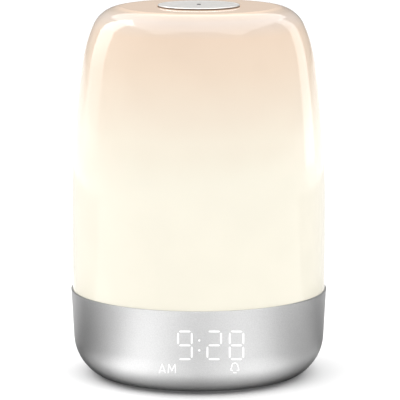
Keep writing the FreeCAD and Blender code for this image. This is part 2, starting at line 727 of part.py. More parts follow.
def screws(label, centres, seat, shank, head, head_height, length, head_below):
    """Pan-head screws as one group of separate solids. seat is the height where the heads bear."""
    shanks = [(x, y, shank) for x, y in centres]
    heads = [(x, y, head) for x, y in centres]
    shank_low = seat if head_below else seat - length
    head_low = seat - head_height if head_below else seat
    nodes[label] = fused(
        label,
        raised(label + "_shanks", shank_low, length, rounds=shanks),
        raised(label + "_heads", head_low, head_height, rounds=heads),
    )
    return nodes[label]


# The base shell: one moulded cup with the seat for the cover, the ledge for the frame, the thin window and the holes

def make_base_shell():
    inner_start = s.rim_radius - s.base_wall / draft_cosine
    ledge_under = ledge_top - s.ledge_thickness
    seat_top = cover_top + s.seat_thickness
    inner = base_side(s.base_wall, ledge_under - s.ledge_thickness, seat_top)
    outline = base_skin() + [
        Corner(s.opening_radius, underside),
        Corner(s.opening_radius, cover_top),
        Corner(s.seat_radius, cover_top),
        Corner(s.seat_radius, seat_top),
    ]
    up_inside = [
        inner[2]._replace(bend=(corner_out, corner_up, s.corner_radius - s.base_wall, 1)),
        inner[1]._replace(bend=None),
        inner[0],
        Corner(s.ledge_radius, ledge_under),
        Corner(s.ledge_radius, ledge_top),
        Corner(ledge_wall, ledge_top),
        Corner(inner_start, rim_top),
        Corner(s.rim_radius - s.rim_chamfer, rim_top),
    ]
    body = spun("base_shell", outline + up_inside)
    # The window is a groove that thins the wall from inside, over part of a turn at the front
    lip = s.window_wall
    low = s.display_low - s.display_gap
    high = s.display_high + s.display_gap
    face = base_side(lip, high, low)
    recess = [Corner(-c.across, c.up, c.bend and (-c.bend[0], c.bend[1], c.bend[2], 1)) for c in face]
    recess += steps((-(s.display_board_front), low), (-(s.display_board_front), high))
    window = draw(new_sketch(body, "window", "YZ_Plane"), [recess])
    turned(body, "Groove", window, s.window_angle)
    # The inlet is a short tube from the power socket out to the wall, bored through
    start = s.jack_face + s.fit_gap
    tube = new_sketch(body, "inlet_tube", "XZ_Plane", -start)
    draw(tube, rounds=[(0.0, jack_middle, s.inlet_radius + s.inlet_wall)])
    tube_length = corner_out + s.corner_radius - s.base_wall - s.jack_face
    feature(body, "Pad", tube, tube_length, back=True)
    bore = new_sketch(body, "inlet_bore", "XZ_Plane", -start)
    draw(bore, rounds=[(0.0, jack_middle, s.inlet_radius)])
    feature(body, "Pocket", bore, through=True)
    # The key holes go straight back through the wall
    holes = new_sketch(body, "key_holes", "XZ_Plane", -s.key_board_face)
    middle = (len(KEYS) - 1) / 2.0
    circles = [(s.key_pitch * (i - middle), s.key_height, s.key_radius + s.slide_gap) for i in range(len(KEYS))]
    circles[int(middle)] = (0.0,) + circles[int(middle)][1:]
    draw(holes, rounds=circles)
    feature(body, "Pocket", holes, through=True)


# The diffuser dome: one thin opal shell with a spigot, a thicker top round its hole, and three screw bosses

def make_diffuser_dome():
    inner = dome_line(s.dome_wall)
    hole = s.button_radius + s.button_gap
    spigot_inner = s.spigot_radius - s.spigot_wall
    inner_wall = s.dome_radius - s.dome_wall
    outline = [Corner(s.dome_radius, rim_top)] + dome_line(Size(0.0, "0.0"))
    outline += steps(
        (hole, crown_top),
        (hole, pad_under),
        (s.crown_pad_radius, pad_under),
        (s.crown_pad_radius, crown_under),
    )
    inside = [
        inner[3]._replace(bend=(shoulder_out, shoulder_up, s.shoulder_radius - s.dome_wall, -1)),
        inner[2]._replace(bend=(neck_out, neck_up, s.neck_radius - s.dome_wall, -1)),
        inner[1]._replace(bend=(lean_out, lean_up, s.side_radius - s.dome_wall, -1)),
        inner[0]._replace(bend=None),
    ]
    outline += inside + steps(
        (inner_wall, rim_top + s.spigot_rise + (inner_wall - spigot_inner)),
        (spigot_inner, rim_top + s.spigot_rise),
        (spigot_inner, frame_top),
        (s.spigot_radius, frame_top),
        (s.spigot_radius, rim_top),
    )
    body = spun("diffuser_dome", outline)
    bosses = new_sketch(body, "screw_bosses", "XY_Plane", frame_top)
    draw(bosses, rounds=spots(s.dome_boss_ring_radius, DOME_SCREW_ANGLES, s.dome_boss_radius))
    feature(body, "Pad", bosses, s.dome_boss_height)
    pilots = new_sketch(body, "screw_pilots", "XY_Plane", frame_top)
    draw(pilots, rounds=spots(s.dome_boss_ring_radius, DOME_SCREW_ANGLES, s.small_screw + s.thread_gap))
    feature(body, "Pocket", pilots, s.small_screw_length - s.frame_thickness + s.fit_gap, back=True)
    caps = new_sketch(body, "cup_pilots", "XY_Plane", pad_under)
    draw(caps, rounds=spots(s.cup_screw_ring_radius, CUP_SCREW_ANGLES, s.small_screw + s.thread_gap))
    feature(body, "Pocket", caps, s.short_screw_length - s.cup_flange, back=True)


# The press plate, its carrier and the switch under it

def make_press_plate():
    top = crown_top + s.button_proud
    body = spun(
        "button_plate",
        steps(
            (0.0, plate_under),
            (s.button_radius, plate_under),
            (s.button_radius, top - s.button_chamfer),
            (s.button_radius - s.button_chamfer, top),
            (0.0, top),
        ),
    )
    mark = new_sketch(body, "index_mark", "XY_Plane", top)
    half = s.mark_width / 2.0
    end = s.mark_length / 2.0 - half
    slot = [
        Corner(half, -end),
        Corner(half, end, (0.0, end, half, 1)),
        Corner(-half, end),
        Corner(-half, -end, (0.0, -end, half, 1)),
    ]
    feature(body, "Pocket", draw(mark, [slot]), s.mark_depth)


def make_carrier():
    outer = s.button_radius - s.slide_gap
    low = plate_under - s.carrier_top
    body = spun(
        "button_carrier",
        steps(
            (0.0, plate_under),
            (outer, plate_under),
            (outer, plate_under - s.carrier_skirt),
            (outer - s.carrier_wall, plate_under - s.carrier_skirt),
            (outer - s.carrier_wall, low),
            (s.carrier_post, low),
            (s.carrier_post, plunger_top),
            (0.0, plunger_top),
        ),
    )
    hook = new_sketch(body, "hook", "XY_Plane", plate_under - s.carrier_skirt)
    half = s.hook_width / 2.0
    draw(hook, [rectangle(outer - s.carrier_wall / 2.0, outer + s.hook_reach, -half, half)])
    pattern_round(body, feature(body, "Pad", hook, s.hook_height), 3)


def make_switch_cup():
    inner = s.cup_radius - s.cup_wall
    flange_under = pad_under - s.cup_flange
    socket_inner = s.tube_radius + s.thread_gap * 2.0
    body = spun(
        "switch_cup",
        steps(
            (socket_inner, cup_under),
            (s.ribbon_width, cup_under),
            (s.ribbon_width, cup_floor),
            (inner, cup_floor),
            (inner, pad_under),
            (s.cup_flange_radius, pad_under),
            (s.cup_flange_radius, flange_under),
            (s.cup_radius, flange_under),
            (s.cup_radius, cup_under),
            (socket_inner + s.socket_wall, cup_under),
            (socket_inner + s.socket_wall, cup_under - s.socket_depth),
            (socket_inner, cup_under - s.socket_depth),
        )[1:] + steps((socket_inner, cup_under)),
    )
    # Three windows let the carrier's hooks travel and stop them from coming out
    hook_low = plate_under - s.carrier_skirt
    window = new_sketch(body, "hook_window", "XY_Plane", hook_low - s.button_travel - s.fit_gap)
    half = s.hook_width / 2.0 + s.fit_gap
    draw(window, [rectangle(inner - s.cup_wall, s.cup_radius + s.cup_wall, -half, half)])
    tall = s.hook_height + s.button_travel + s.fit_gap * 2.0
    pattern_round(body, feature(body, "Pocket", window, tall, back=True), 3)
    holes = new_sketch(body, "flange_holes", "XY_Plane", pad_under)
    draw(holes, rounds=spots(s.cup_screw_ring_radius, CUP_SCREW_ANGLES, s.small_screw + s.thread_gap))
    feature(body, "Pocket", holes, s.cup_flange)


def make_top_switch():
    plate("switch_board", cup_floor, s.board_thickness, rounds=[(0.0, 0.0, s.switch_board_radius)])
    half = s.switch_body / 2.0
    body = plate("top_switch", switch_base, s.switch_height, [rectangle(-half, half, -half, half)])
    bore = new_sketch(body, "plunger_bore", "XY_Plane", switch_top)
    draw(bore, rounds=[(0.0, 0.0, s.plunger_radius + s.plunger_gap)])
    feature(body, "Pocket", bore, s.plunger_root + s.button_travel + s.plunger_spare)
    length = s.plunger_root + s.plunger_stand
    nodes["top_switch_plunger"] = rod(
        "top_switch_plunger", s.plunger_radius, length, up=switch_top - s.plunger_root
    )


def make_tube_and_ribbon():
    inner = s.tube_radius - s.tube_wall
    spun("cable_tube", rectangle(inner, s.tube_radius, light_top, cup_under))
    nodes["switch_ribbon"] = slab(
        "switch_ribbon",
        -s.ribbon_width / 2.0,
        -s.ribbon_thickness / 2.0,
        light_top,
        s.ribbon_width,
        s.ribbon_thickness,
        cup_floor - light_top,
    )


# The inner frame: a round plate on the base's ledge, with four long posts for the cover screws and the board bosses

def make_mid_frame():
    body = plate(
        "mid_frame",
        ledge_top,
        s.frame_thickness,
        rounds=[(0.0, 0.0, s.frame_radius), (0.0, 0.0, s.frame_hole)]
        + spots(s.dome_boss_ring_radius, DOME_SCREW_ANGLES, s.small_screw + s.thread_gap),
    )
    roots = new_sketch(body, "post_roots", "XY_Plane", ledge_top)
    draw(roots, rounds=spots(s.post_ring_radius, POST_ANGLES, s.post_root_radius))
    feature(body, "Pad", roots, s.frame_thickness, back=True)
    posts = new_sketch(body, "posts", "XY_Plane", ledge_top)
    draw(posts, rounds=spots(s.post_ring_radius, POST_ANGLES, s.post_radius))
    feature(body, "Pad", posts, ledge_top - boss_top, back=True)
    bosses = new_sketch(body, "board_bosses", "XY_Plane", ledge_top)
    draw(bosses, rounds=spots(s.board_boss_ring_radius, BOARD_BOSS_ANGLES, s.board_boss_radius))
    feature(body, "Pad", bosses, s.board_hang, back=True)
    pads = new_sketch(body, "light_bosses", "XY_Plane", ledge_top)
    draw(pads, rounds=spots(s.light_screw_ring_radius, LIGHT_SCREW_ANGLES, s.board_boss_radius))
    feature(body, "Pad", pads, s.light_boss_depth, back=True)
    deep = new_sketch(body, "post_pilots", "XY_Plane", boss_top)
    draw(deep, rounds=spots(s.post_ring_radius, POST_ANGLES, s.large_screw + s.thread_gap))
    feature(body, "Pocket", deep, s.large_screw_length, back=True)
    low = new_sketch(body, "board_pilots", "XY_Plane", main_top)
    draw(low, rounds=spots(s.board_boss_ring_radius, BOARD_BOSS_ANGLES, s.small_screw + s.thread_gap))
    feature(body, "Pocket", low, s.small_screw_length, back=True)
    high = new_sketch(body, "light_pilots", "XY_Plane", frame_top)
    draw(high, rounds=spots(s.light_screw_ring_radius, LIGHT_SCREW_ANGLES, s.small_screw + s.thread_gap))
    feature(body, "Pocket", high, s.short_screw_length)


# The light engine: a board with two rings of lamps, and the white reflector that lies on it

def make_light_engine():
    plate(
        "light_board",
        frame_top,
        s.board_thickness,
        rounds=[(0.0, 0.0, s.light_radius)]
        + spots(s.light_screw_ring_radius, LIGHT_SCREW_ANGLES, s.small_screw + s.thread_gap),
    )
    for label, ring, count in (("warm_lamps", s.warm_ring_radius, WARM_LAMPS), ("colour_lamps", s.colour_ring_radius, COLOUR_LAMPS)):
        half = s.lamp_side / 2.0
        squares = []
        for angle in evenly(count):
            x, y = polar(ring, angle + 180.0 / count)
            squares.append(rectangle(x - half, x + half, y - half, y + half))
        nodes[label] = raised(label, light_top, s.lamp_height, squares)
    edge = s.reflector_edge
    sheet_top = light_top + s.reflector_thickness
    body = spun(
        "reflector",
        steps(
            (s.tube_radius + s.fit_gap, light_top),
            (s.reflector_floor, light_top),
            (edge, light_top + s.reflector_rise),
            (edge, sheet_top + s.reflector_rise),
            (edge - s.reflector_thickness, sheet_top + s.reflector_rise),
            (s.reflector_floor - s.reflector_thickness, sheet_top),
            (s.tube_radius + s.fit_gap, sheet_top),
        ),
    )
    windows = new_sketch(body, "lamp_windows", "XY_Plane", sheet_top)
    circles = spots(s.warm_ring_radius, [a + 180.0 / WARM_LAMPS for a in evenly(WARM_LAMPS)], s.lamp_window)
    circles += spots(s.colour_ring_radius, [a + 180.0 / COLOUR_LAMPS for a in evenly(COLOUR_LAMPS)], s.lamp_window)
    circles += spots(s.light_screw_ring_radius, LIGHT_SCREW_ANGLES, s.small_head + s.fit_gap)
    draw(windows, rounds=circles)
    feature(body, "Pocket", windows, s.reflector_thickness)


# The main board with its parts

def make_main_board():
    edge = root(s.main_radius * s.main_radius - s.main_front * s.main_front)
    outline = [
        Corner(-edge, -s.main_front),
        Corner(edge, -s.main_front, (0.0, 0.0, s.main_radius, 1)),
    ]
    holes = spots(s.post_ring_radius, POST_ANGLES, s.post_radius + s.fit_gap)
    holes += spots(s.board_boss_ring_radius, BOARD_BOSS_ANGLES, s.small_screw + s.thread_gap)
    plate("main_board", main_under, s.board_thickness, [outline], holes)
    half = s.chip_side / 2.0
    nodes["controller_chip"] = slab(
        "controller_chip", -half, -half, main_top, s.chip_side, s.chip_side, s.chip_height
    )
    spots_of_capacitors = [(-s.board_boss_ring_radius, s.capacitor_radius * i * 2.6) for i in (-1, 0, 1)]
    circles = [(x, 0.0 if y.value == 0.0 else y, s.capacitor_radius) for x, y in spots_of_capacitors]
    nodes["board_capacitors"] = raised("board_capacitors", main_top, s.capacitor_height, rounds=circles)


# The power socket hangs under the main board

def make_power_socket():
    half = s.jack_width / 2.0
    back = s.jack_face - s.jack_length
    body = plate(
        "power_socket",
        main_under - s.jack_height,
        s.jack_height,
        [rectangle(-half, half, back, s.jack_face)],
    )
    bore = new_sketch(body, "socket_bore", "XZ_Plane", -s.jack_face)
    draw(bore, rounds=[(0.0, jack_middle, s.jack_bore)])
    feature(body, "Pocket", bore, s.jack_bore_depth, back=True)
    soften(body, "Chamfer", s.edge_break, lambda edge: is_ring(edge, s.jack_bore, "y", s.jack_face))
    nodes["socket_pin"] = rod(
        "socket_pin",
        s.jack_pin_radius,
        s.jack_pin_length,
        deep=s.jack_face - s.jack_bore_depth,
        up=jack_middle,
        along_y=True,
    )


# The time display: a light block with one well behind each bar of each digit, lit by a board at its back

def bars_of_digit(across):
    """The seven bars of a digit as outlines, around a point."""
    half_wide = s.digit_width / 2.0
    half_high = s.digit_height / 2.0
    bar = s.segment_width
    gap = s.segment_gap
    left, right = across - half_wide, across + half_wide
    outlines = []
    for level in (-1, 0, 1):
        middle = s.digit_middle + (half_high - bar / 2.0) * level
        outlines.append(rectangle(left + bar + gap, right - bar - gap, middle - bar / 2.0, middle + bar / 2.0))
    for side in (left, right - bar):
        for level in (-1, 1):
            near = s.digit_middle + (bar / 2.0 + gap) * level
            far = s.digit_middle + (half_high - bar - gap) * level
            low, high = (far, near) if level < 0 else (near, far)
            outlines.append(rectangle(side, side + bar, low, high))
    return outlines


def digit_places():
    inner = s.colon_pitch / 2.0
    return [-inner - s.digit_pitch, -inner, inner, inner + s.digit_pitch]


def middle_of(outline):
    xs = [outline[0].across, outline[1].across]
    ys = [outline[0].up, outline[2].up]
    return (xs[0] + xs[1]) / 2.0, (ys[0] + ys[1]) / 2.0


def make_display():
    board_back = s.display_board_front - s.board_thickness
    low = s.display_low - s.board_margin
    nodes["display_board"] = slab(
        "display_board",
        -s.display_board_half,
        -s.display_board_front,
        low,
        s.display_board_half * 2.0,
        s.board_thickness,
        ledge_top - low,
    )
    nodes["display_header"] = slab(
        "display_header",
        -s.header_width / 2.0,
        -board_back,
        main_top,
        s.header_width,
        s.header_depth,
        s.header_height,
    )
    body = new_body("display_block")
    face = base_side(s.window_wall + s.display_gap, s.display_high, s.display_low)
    outline = [Corner(-c.across, c.up, c.bend and (-c.bend[0], c.bend[1], c.bend[2], 1)) for c in face]
    inner = s.display_board_front * 0.9
    outline += steps((-inner, s.display_low), (-inner, s.display_high))
    turned(body, "Revolution", draw(new_sketch(body, "block_outline", "YZ_Plane"), [outline]), s.window_angle + 10.0)
    # The block is trimmed flat at its back and its sides
    trim = new_sketch(body, "block_trim", "XY_Plane", s.display_high + s.board_margin)
    reach = s.rim_radius
    half = s.display_half
    surround = steps(
        (-reach, 0.0),
        (-reach, -reach),
        (-half, -reach),
        (-half, -s.display_board_front),
        (half, -s.display_board_front),
        (half, -reach),
        (reach, -reach),
        (reach, 0.0),
    )
    draw(trim, [surround])
    feature(body, "Pocket", trim, through=True)
    signs = [
        rectangle(
            middle - width / 2.0,
            middle + width / 2.0,
            s.sign_middle - s.sign_height / 2.0,
            s.sign_middle + s.sign_height / 2.0,
        )
        for middle, width in ((s.morning_across, s.morning_width), (s.bell_across, s.bell_width))
    ]
    dots = [(0.0, s.digit_middle + s.colon_rise * way, s.dot_radius) for way in (-1, 1)]
    lamps = []
    for number, across in enumerate(digit_places()):
        bars = bars_of_digit(across)
        wells = new_sketch(body, "digit_wells_%d" % number, "XZ_Plane")
        feature(body, "Pocket", draw(wells, bars), through=True, back=True)
        lamps += [middle_of(bar) for bar in bars]
    wells = new_sketch(body, "sign_wells", "XZ_Plane")
    feature(body, "Pocket", draw(wells, signs, dots), through=True, back=True)
    lamps += [(x, y) for x, y, _ in dots] + [middle_of(sign) for sign in signs]
    circles = [(x, y, s.chip_dot_radius) for x, y in lamps]
    sketch = doc.addObject("Sketcher::SketchObject", "display_lamps_outline")
    sketch.Placement = Placement(Vector(), Rotation(Vector(1, 0, 0), 90))
    bind(sketch, "Placement.Base.y", -s.display_board_front)
    draw(sketch, rounds=circles)
    made = doc.addObject("Part::Extrusion", "display_lamps")
    made.Base = sketch
    made.DirMode = "Custom"
    made.Dir = Vector(0, -1, 0)
    made.Solid = True
    bind(made, "LengthFwd", s.chip_dot_height)
    nodes["display_lamps"] = made


# The five keys at the back, each a moulded cap on the plunger of its switch

def make_keys():
    back = s.key_board_face
    nodes["key_board"] = slab(
        "key_board",
        -s.key_board_half,
        back - s.board_thickness,
        main_top,
        s.key_board_half * 2.0,
        s.board_thickness,
        s.key_board_height,
    )
    middle = (len(KEYS) - 1) / 2.0
    half = s.switch_body / 2.0
    switch_face = back + s.switch_height
    key_back = switch_face + s.plunger_stand
    wall_level = s.key_height - s.key_flange
    inner_wall = s.rim_radius - (rim_top - wall_level) * (draft_sine / draft_cosine) - s.base_wall / draft_cosine
    low = s.key_height - s.key_radius * 1.5
    high = s.key_height + s.key_radius * 1.5
    skins = [
        s.rim_radius - (rim_top - level) * (draft_sine / draft_cosine) + s.key_proud / draft_cosine
        for level in (low, high)
    ]
    cone = doc.addObject("Part::Cone", "key_envelope")
    bind(cone, "Radius1", skins[0])
    bind(cone, "Radius2", skins[1])
    bind(cone, "Height", high - low)
    shift(cone, up=low)
    bodies, bores = [], []
    for number, name in enumerate(KEYS):
        across = s.key_pitch * (number - middle)
        far = s.key_pitch * abs(number - middle) + s.key_flange
        flange_face = root(inner_wall * inner_wall - far * far) - s.fit_gap
        here = {"across": across, "up": s.key_height, "along_y": True}
        stem = rod(name + "_stem", s.key_stem, flange_face - key_back, deep=key_back, **here)
        collar_back = flange_face - s.key_flange_thickness
        collar = rod(name + "_collar", s.key_flange, s.key_flange_thickness, deep=collar_back, **here)
        cap = rod(name + "_cap", s.key_radius, s.rim_radius + s.key_proud - flange_face, deep=flange_face, **here)
        trimmed = doc.addObject("Part::Common", name + "_trimmed")
        trimmed.Base = fused(name + "_whole", stem, collar, cap)
        trimmed.Tool = cone
        doc.recompute()
        inside = worth(flange_face + s.base_wall)
        rims = [i + 1 for i, edge in enumerate(trimmed.Shape.Edges) if edge.BoundBox.YMin > inside]
        key = doc.addObject("Part::Fillet", name + "_key")
        key.Base = trimmed
        key.Edges = [(rim, s.key_round.value, s.key_round.value) for rim in rims]
        nodes[name + "_key"] = key
        root_face = switch_face - s.plunger_root
        nodes[name + "_plunger"] = rod(
            name + "_plunger", s.plunger_radius, s.plunger_root + s.plunger_stand, deep=root_face, **here
        )
        bodies.append(
            slab(
                name + "_switch",
                across - half,
                back,
                s.key_height - half,
                s.switch_body,
                s.switch_height,
                s.switch_body,
            )
        )
        bore_depth = s.plunger_root + s.key_travel + s.plunger_spare
        bores.append(
            rod(name + "_bore", s.plunger_radius + s.plunger_gap, bore_depth, deep=switch_face - bore_depth, **here)
        )
    solid = doc.addObject("Part::Compound", "key_switch_bodies")
    solid.Links = bodies
    hollow = doc.addObject("Part::Compound", "key_switch_bores")
    hollow.Links = bores
    nodes["key_switches"] = cut("key_switches", solid, hollow)


# The bottom cover: grille, cell opening, screw bosses and the recesses for the feet

def grille_circles():
    circles = [(s.speaker_across, 0.0, s.grille_hole)]
    for ring in range(1, GRILLE_RINGS + 1):
        for angle in evenly(HOLES_PER_RING * ring):
            x, y = polar(s.grille_pitch * ring, angle)
            flat = abs(y.value) < 1e-9
            circles.append((s.speaker_across + x, 0.0 if flat else y, s.grille_hole))
    return circles


def about(centre, ring, angles, radius):
    """Circles on a ring about a point right or left of the middle."""
    circles = []
    for angle in angles:
        x, y = polar(ring, angle)
        circles.append((centre + x, 0.0 if abs(y.value) < 1e-9 else y, radius))
    return circles


def turned_rectangle(centre, angle, near, far, half):
    """A rectangle that reaches from near to far along a direction, about a point right or left of the middle."""
    long_x, long_y = cosine(angle), sine(angle)
    corners = []
    for reach, side in ((near, -half), (far, -half), (far, half), (near, half)):
        corners.append(Corner(centre + reach * long_x - side * long_y, reach * long_y + side * long_x))
    return corners


def make_bottom_cover():
    body = plate(
        "bottom_cover",
        underside,
        s.cover_thickness,
        rounds=[
            (0.0, 0.0, s.opening_radius - s.fit_gap),
            (s.cell_across, 0.0, s.door_radius + s.fit_gap),
        ],
    )
    bosses = new_sketch(body, "cover_bosses", "XY_Plane", cover_top)
    draw(bosses, rounds=spots(s.post_ring_radius, POST_ANGLES, s.cover_boss_radius))
    feature(body, "Pad", bosses, s.cover_boss_height)
    stands = new_sketch(body, "speaker_bosses", "XY_Plane", cover_top)
    stand_height = s.gasket_thickness + s.cone_thickness + s.basket_flange
    draw(stands, rounds=about(s.speaker_across, s.speaker_screw_ring_radius, SPEAKER_SCREW_ANGLES, s.small_head - s.fit_gap))
    feature(body, "Pad", stands, stand_height)
    pilots = new_sketch(body, "speaker_pilots", "XY_Plane", cover_top + stand_height)
    draw(
        pilots,
        rounds=about(s.speaker_across, s.speaker_screw_ring_radius, SPEAKER_SCREW_ANGLES, s.small_screw + s.thread_gap),
    )
    feature(body, "Pocket", pilots, stand_height + s.cover_thickness / 2.0)
    groove = new_sketch(body, "lug_groove", "XY_Plane", cover_top)
    draw(groove, rounds=[(s.cell_across, 0.0, s.door_radius + s.door_lug + s.fit_gap)])
    lug_low = door_top - s.door_lug_height
    feature(body, "Pocket", groove, cover_top - lug_low + s.plunger_gap)
    grille = new_sketch(body, "grille", "XY_Plane", cover_top)
    feature(body, "Pocket", draw(grille, rounds=grille_circles()), through=True)
    clear = new_sketch(body, "screw_holes", "XY_Plane", boss_top)
    draw(clear, rounds=spots(s.post_ring_radius, POST_ANGLES, s.large_screw + s.slide_gap))
    feature(body, "Pocket", clear, through=True)
    heads = new_sketch(body, "head_recesses", "XY_Plane", underside)
    draw(heads, rounds=spots(s.post_ring_radius, POST_ANGLES, s.large_head + s.fit_gap))
    feature(body, "Pocket", heads, s.large_head_height + s.plunger_spare, back=True)
    recesses = new_sketch(body, "foot_recesses", "XY_Plane", underside)
    draw(recesses, rounds=spots(s.foot_ring_radius, FOOT_ANGLES, s.foot_radius + s.plunger_gap))
    feature(body, "Pocket", recesses, s.foot_recess, back=True)
    # Three notches in the opening's lip let the door's lugs in, a turn away from where they lock
    half = s.door_lug_width / 2.0 + s.fit_gap
    near = s.door_radius - s.door_lug
    far = s.door_radius + s.door_lug + s.fit_gap
    notches = [turned_rectangle(s.cell_across, angle - s.door_turn, near, far, half) for angle in evenly(3)]
    gates = new_sketch(body, "lug_gates", "XY_Plane", underside)
    feature(body, "Pocket", draw(gates, notches), s.cover_thickness, back=True)
    rim = s.opening_radius - s.fit_gap
    soften(body, "Chamfer", s.edge_break, lambda edge: is_ring(edge, rim, "z", underside))


def make_feet():
    wide = s.foot_radius
    top = underside + s.foot_recess
    corners = steps(
        (0.0, top),
        (wide, top),
        (wide, s.foot_crown + 0.0),
        (wide - s.foot_crown, Size(0.0, "0.0")),
        (0.0, 0.0),
    )
    feet = []
    for angle in FOOT_ANGLES:
        body = doc.addObject("PartDesign::Body", "foot")
        sketch = new_sketch(body, "foot_outline", "XZ_Plane")
        draw(sketch, [corners])
        turned(body, "Revolution", sketch)
        x, y = polar(s.foot_ring_radius, angle)
        feet.append(shift(body, x, y))
    group = doc.addObject("Part::Compound", "rubber_feet")
    group.Links = feet
    nodes["rubber_feet"] = group


# The speaker faces down onto the grille: gasket, cone, basket and magnet, stacked on the cover

def make_speaker():
    rim_low = cover_top + s.gasket_thickness
    rim_mid = rim_low + s.cone_thickness
    rim_high = rim_mid + s.basket_flange
    gasket = spun("speaker_gasket", rectangle(s.speaker_mouth, s.speaker_radius, cover_top, rim_low))
    cap_up = rim_low + s.cone_rise
    cone = spun(
        "speaker_cone",
        steps(
            (0.0, cap_up - s.cone_thickness * 4.0),
            (s.cone_cap, cap_up),
            (s.speaker_mouth - s.fit_gap, rim_low),
            (s.speaker_radius - s.fit_gap, rim_low),
            (s.speaker_radius - s.fit_gap, rim_mid),
            (s.speaker_mouth, rim_mid),
            (s.cone_cap, cap_up + s.cone_thickness),
            (0.0, cap_up - s.cone_thickness * 3.0),
        ),
    )
    top = rim_high + s.basket_height
    plate_radius = s.magnet_radius - s.basket_wall
    basket = spun(
        "speaker_basket",
        steps(
            (s.speaker_mouth + s.basket_wall, rim_mid),
            (s.speaker_radius, rim_mid),
            (s.speaker_radius, rim_high),
            (s.speaker_mouth + s.basket_wall * 2.0, rim_high),
            (plate_radius, top),
            (0.0, top),
            (0.0, top - s.basket_wall),
            (plate_radius - s.basket_wall, top - s.basket_wall),
        ),
    )
    # Four windows in the basket's slope, as in a pressed steel frame
    windows = new_sketch(basket, "basket_windows", "XY_Plane", top + s.basket_wall)
    ring = (s.speaker_mouth + plate_radius) / 2.0 + s.basket_wall
    draw(windows, rounds=spots(ring, [45.0, 135.0, 225.0, 315.0], s.basket_wall * 2.6))
    feature(basket, "Pocket", windows, s.basket_height)
    magnet = spun("speaker_magnet", rectangle(0.0, s.magnet_radius, top, top + s.magnet_height))
    for piece in (gasket, cone, basket, magnet):
        shift(piece, s.speaker_across)
    screws(
        "speaker_screws",
        [(x, y) for x, y, _ in about(s.speaker_across, s.speaker_screw_ring_radius, SPEAKER_SCREW_ANGLES, 0.0)],
        rim_high,
        s.small_screw,
        s.wide_head,
        s.small_head_height,
        s.gasket_thickness + s.cone_thickness + s.basket_flange + s.cover_thickness / 2.0,
        False,
    )


# The backup cell under its door, in a holder with a spring strip above and a clip at its side

def make_cell():
    door = plate("cell_door", underside, s.door_thickness, rounds=[(0.0, 0.0, s.door_radius)])
    lug = new_sketch(door, "lug", "XY_Plane", door_top - s.door_lug_height)
    half = s.door_lug_width / 2.0
    draw(lug, [rectangle(s.door_radius - s.door_lug * 2.0, s.door_radius + s.door_lug * 0.8, -half, half)])
    pattern_round(door, feature(door, "Pad", lug, s.door_lug_height), 3)
    slot = new_sketch(door, "coin_slot", "XY_Plane", underside)
    long, wide = s.coin_slot_length / 2.0, s.coin_slot_width / 2.0
    draw(slot, [rectangle(-long, long, -wide, wide)])
    feature(door, "Pocket", slot, s.coin_slot_depth, back=True)
    soften(door, "Chamfer", s.edge_break, lambda edge: is_ring(edge, s.door_radius, "z", underside))
    cell = spun("backup_cell", rectangle(0.0, s.cell_radius, door_top, cell_top))
    bore = s.cell_radius + s.clip_thickness
    holder_top = cover_top + s.holder_height
    outer = bore + s.holder_wall
    holder = spun(
        "cell_holder",
        steps(
            (bore, cover_top),
            (outer, cover_top),
            (outer, holder_top),
            (0.0, holder_top),
            (0.0, roof_under),
            (bore, roof_under),
        ),
    )
    slot = new_sketch(holder, "clip_slot", "XY_Plane", roof_under)
    draw(slot, [rectangle(s.cell_radius, bore + s.clip_thickness, -s.clip_width * 0.6, s.clip_width * 0.6)])
    feature(holder, "Pocket", slot, s.holder_height - s.holder_roof)
    strip = slab(
        "spring_leaf",
        -s.spring_length / 2.0,
        -s.spring_width / 2.0,
        roof_under - s.spring_strip,
        s.spring_length,
        s.spring_width,
        s.spring_strip,
    )
    button = rod("spring_button", s.spring_width / 2.0, roof_under - cell_top, up=cell_top)
    spring = fused("cell_spring", strip, button)
    nodes["cell_spring"] = spring
    clip = slab(
        "cell_clip",
        s.cell_radius + s.thread_gap,
        -s.clip_width / 2.0,
        cover_top,
        s.clip_thickness,
        s.clip_width,
        roof_under - cover_top,
    )
    nodes["cell_clip"] = clip
    for piece in (door, cell, holder, spring):
        shift(piece, s.cell_across)
    shift(clip, s.cell_across + s.cell_radius + s.thread_gap)


def make_screws():
    screws(
        "cover_screws",
        [polar(s.post_ring_radius, a) for a in POST_ANGLES],
        underside + s.large_head_height + s.plunger_spare,
        s.large_screw,
        s.large_head,
        s.large_head_height,
        s.large_screw_length,
        True,
    )
    screws(
        "board_screws",
        [polar(s.board_boss_ring_radius, a) for a in BOARD_BOSS_ANGLES],
        main_under,
        s.small_screw,
        s.small_head,
        s.small_head_height,
        s.small_screw_length,
        True,
    )
    screws(
        "light_screws",
        [polar(s.light_screw_ring_radius, a) for a in LIGHT_SCREW_ANGLES],
        light_top,
        s.small_screw,
        s.small_head,
        s.small_head_height,
        s.small_screw_length,
        False,
    )
    screws(
        "dome_screws",
        [polar(s.dome_boss_ring_radius, a) for a in DOME_SCREW_ANGLES],
        ledge_top,
        s.small_screw,
        s.small_head,
        s.small_head_height,
        s.small_screw_length,
        True,
    )
    screws(
        "cup_screws",
        [polar(s.cup_screw_ring_radius, a) for a in CUP_SCREW_ANGLES],
        pad_under - s.cup_flange,
        s.small_screw,
        s.small_head,
        s.small_head_height,
        s.short_screw_length - s.thread_gap,
        True,
    )


make_base_shell()
make_diffuser_dome()
make_press_plate()
make_carrier()
make_switch_cup()
make_top_switch()
make_tube_and_ribbon()
make_mid_frame()
make_light_engine()
make_main_board()
make_power_socket()
make_display()
make_keys()
make_bottom_cover()
make_feet()
make_speaker()
make_cell()
make_screws()
doc.recompute()

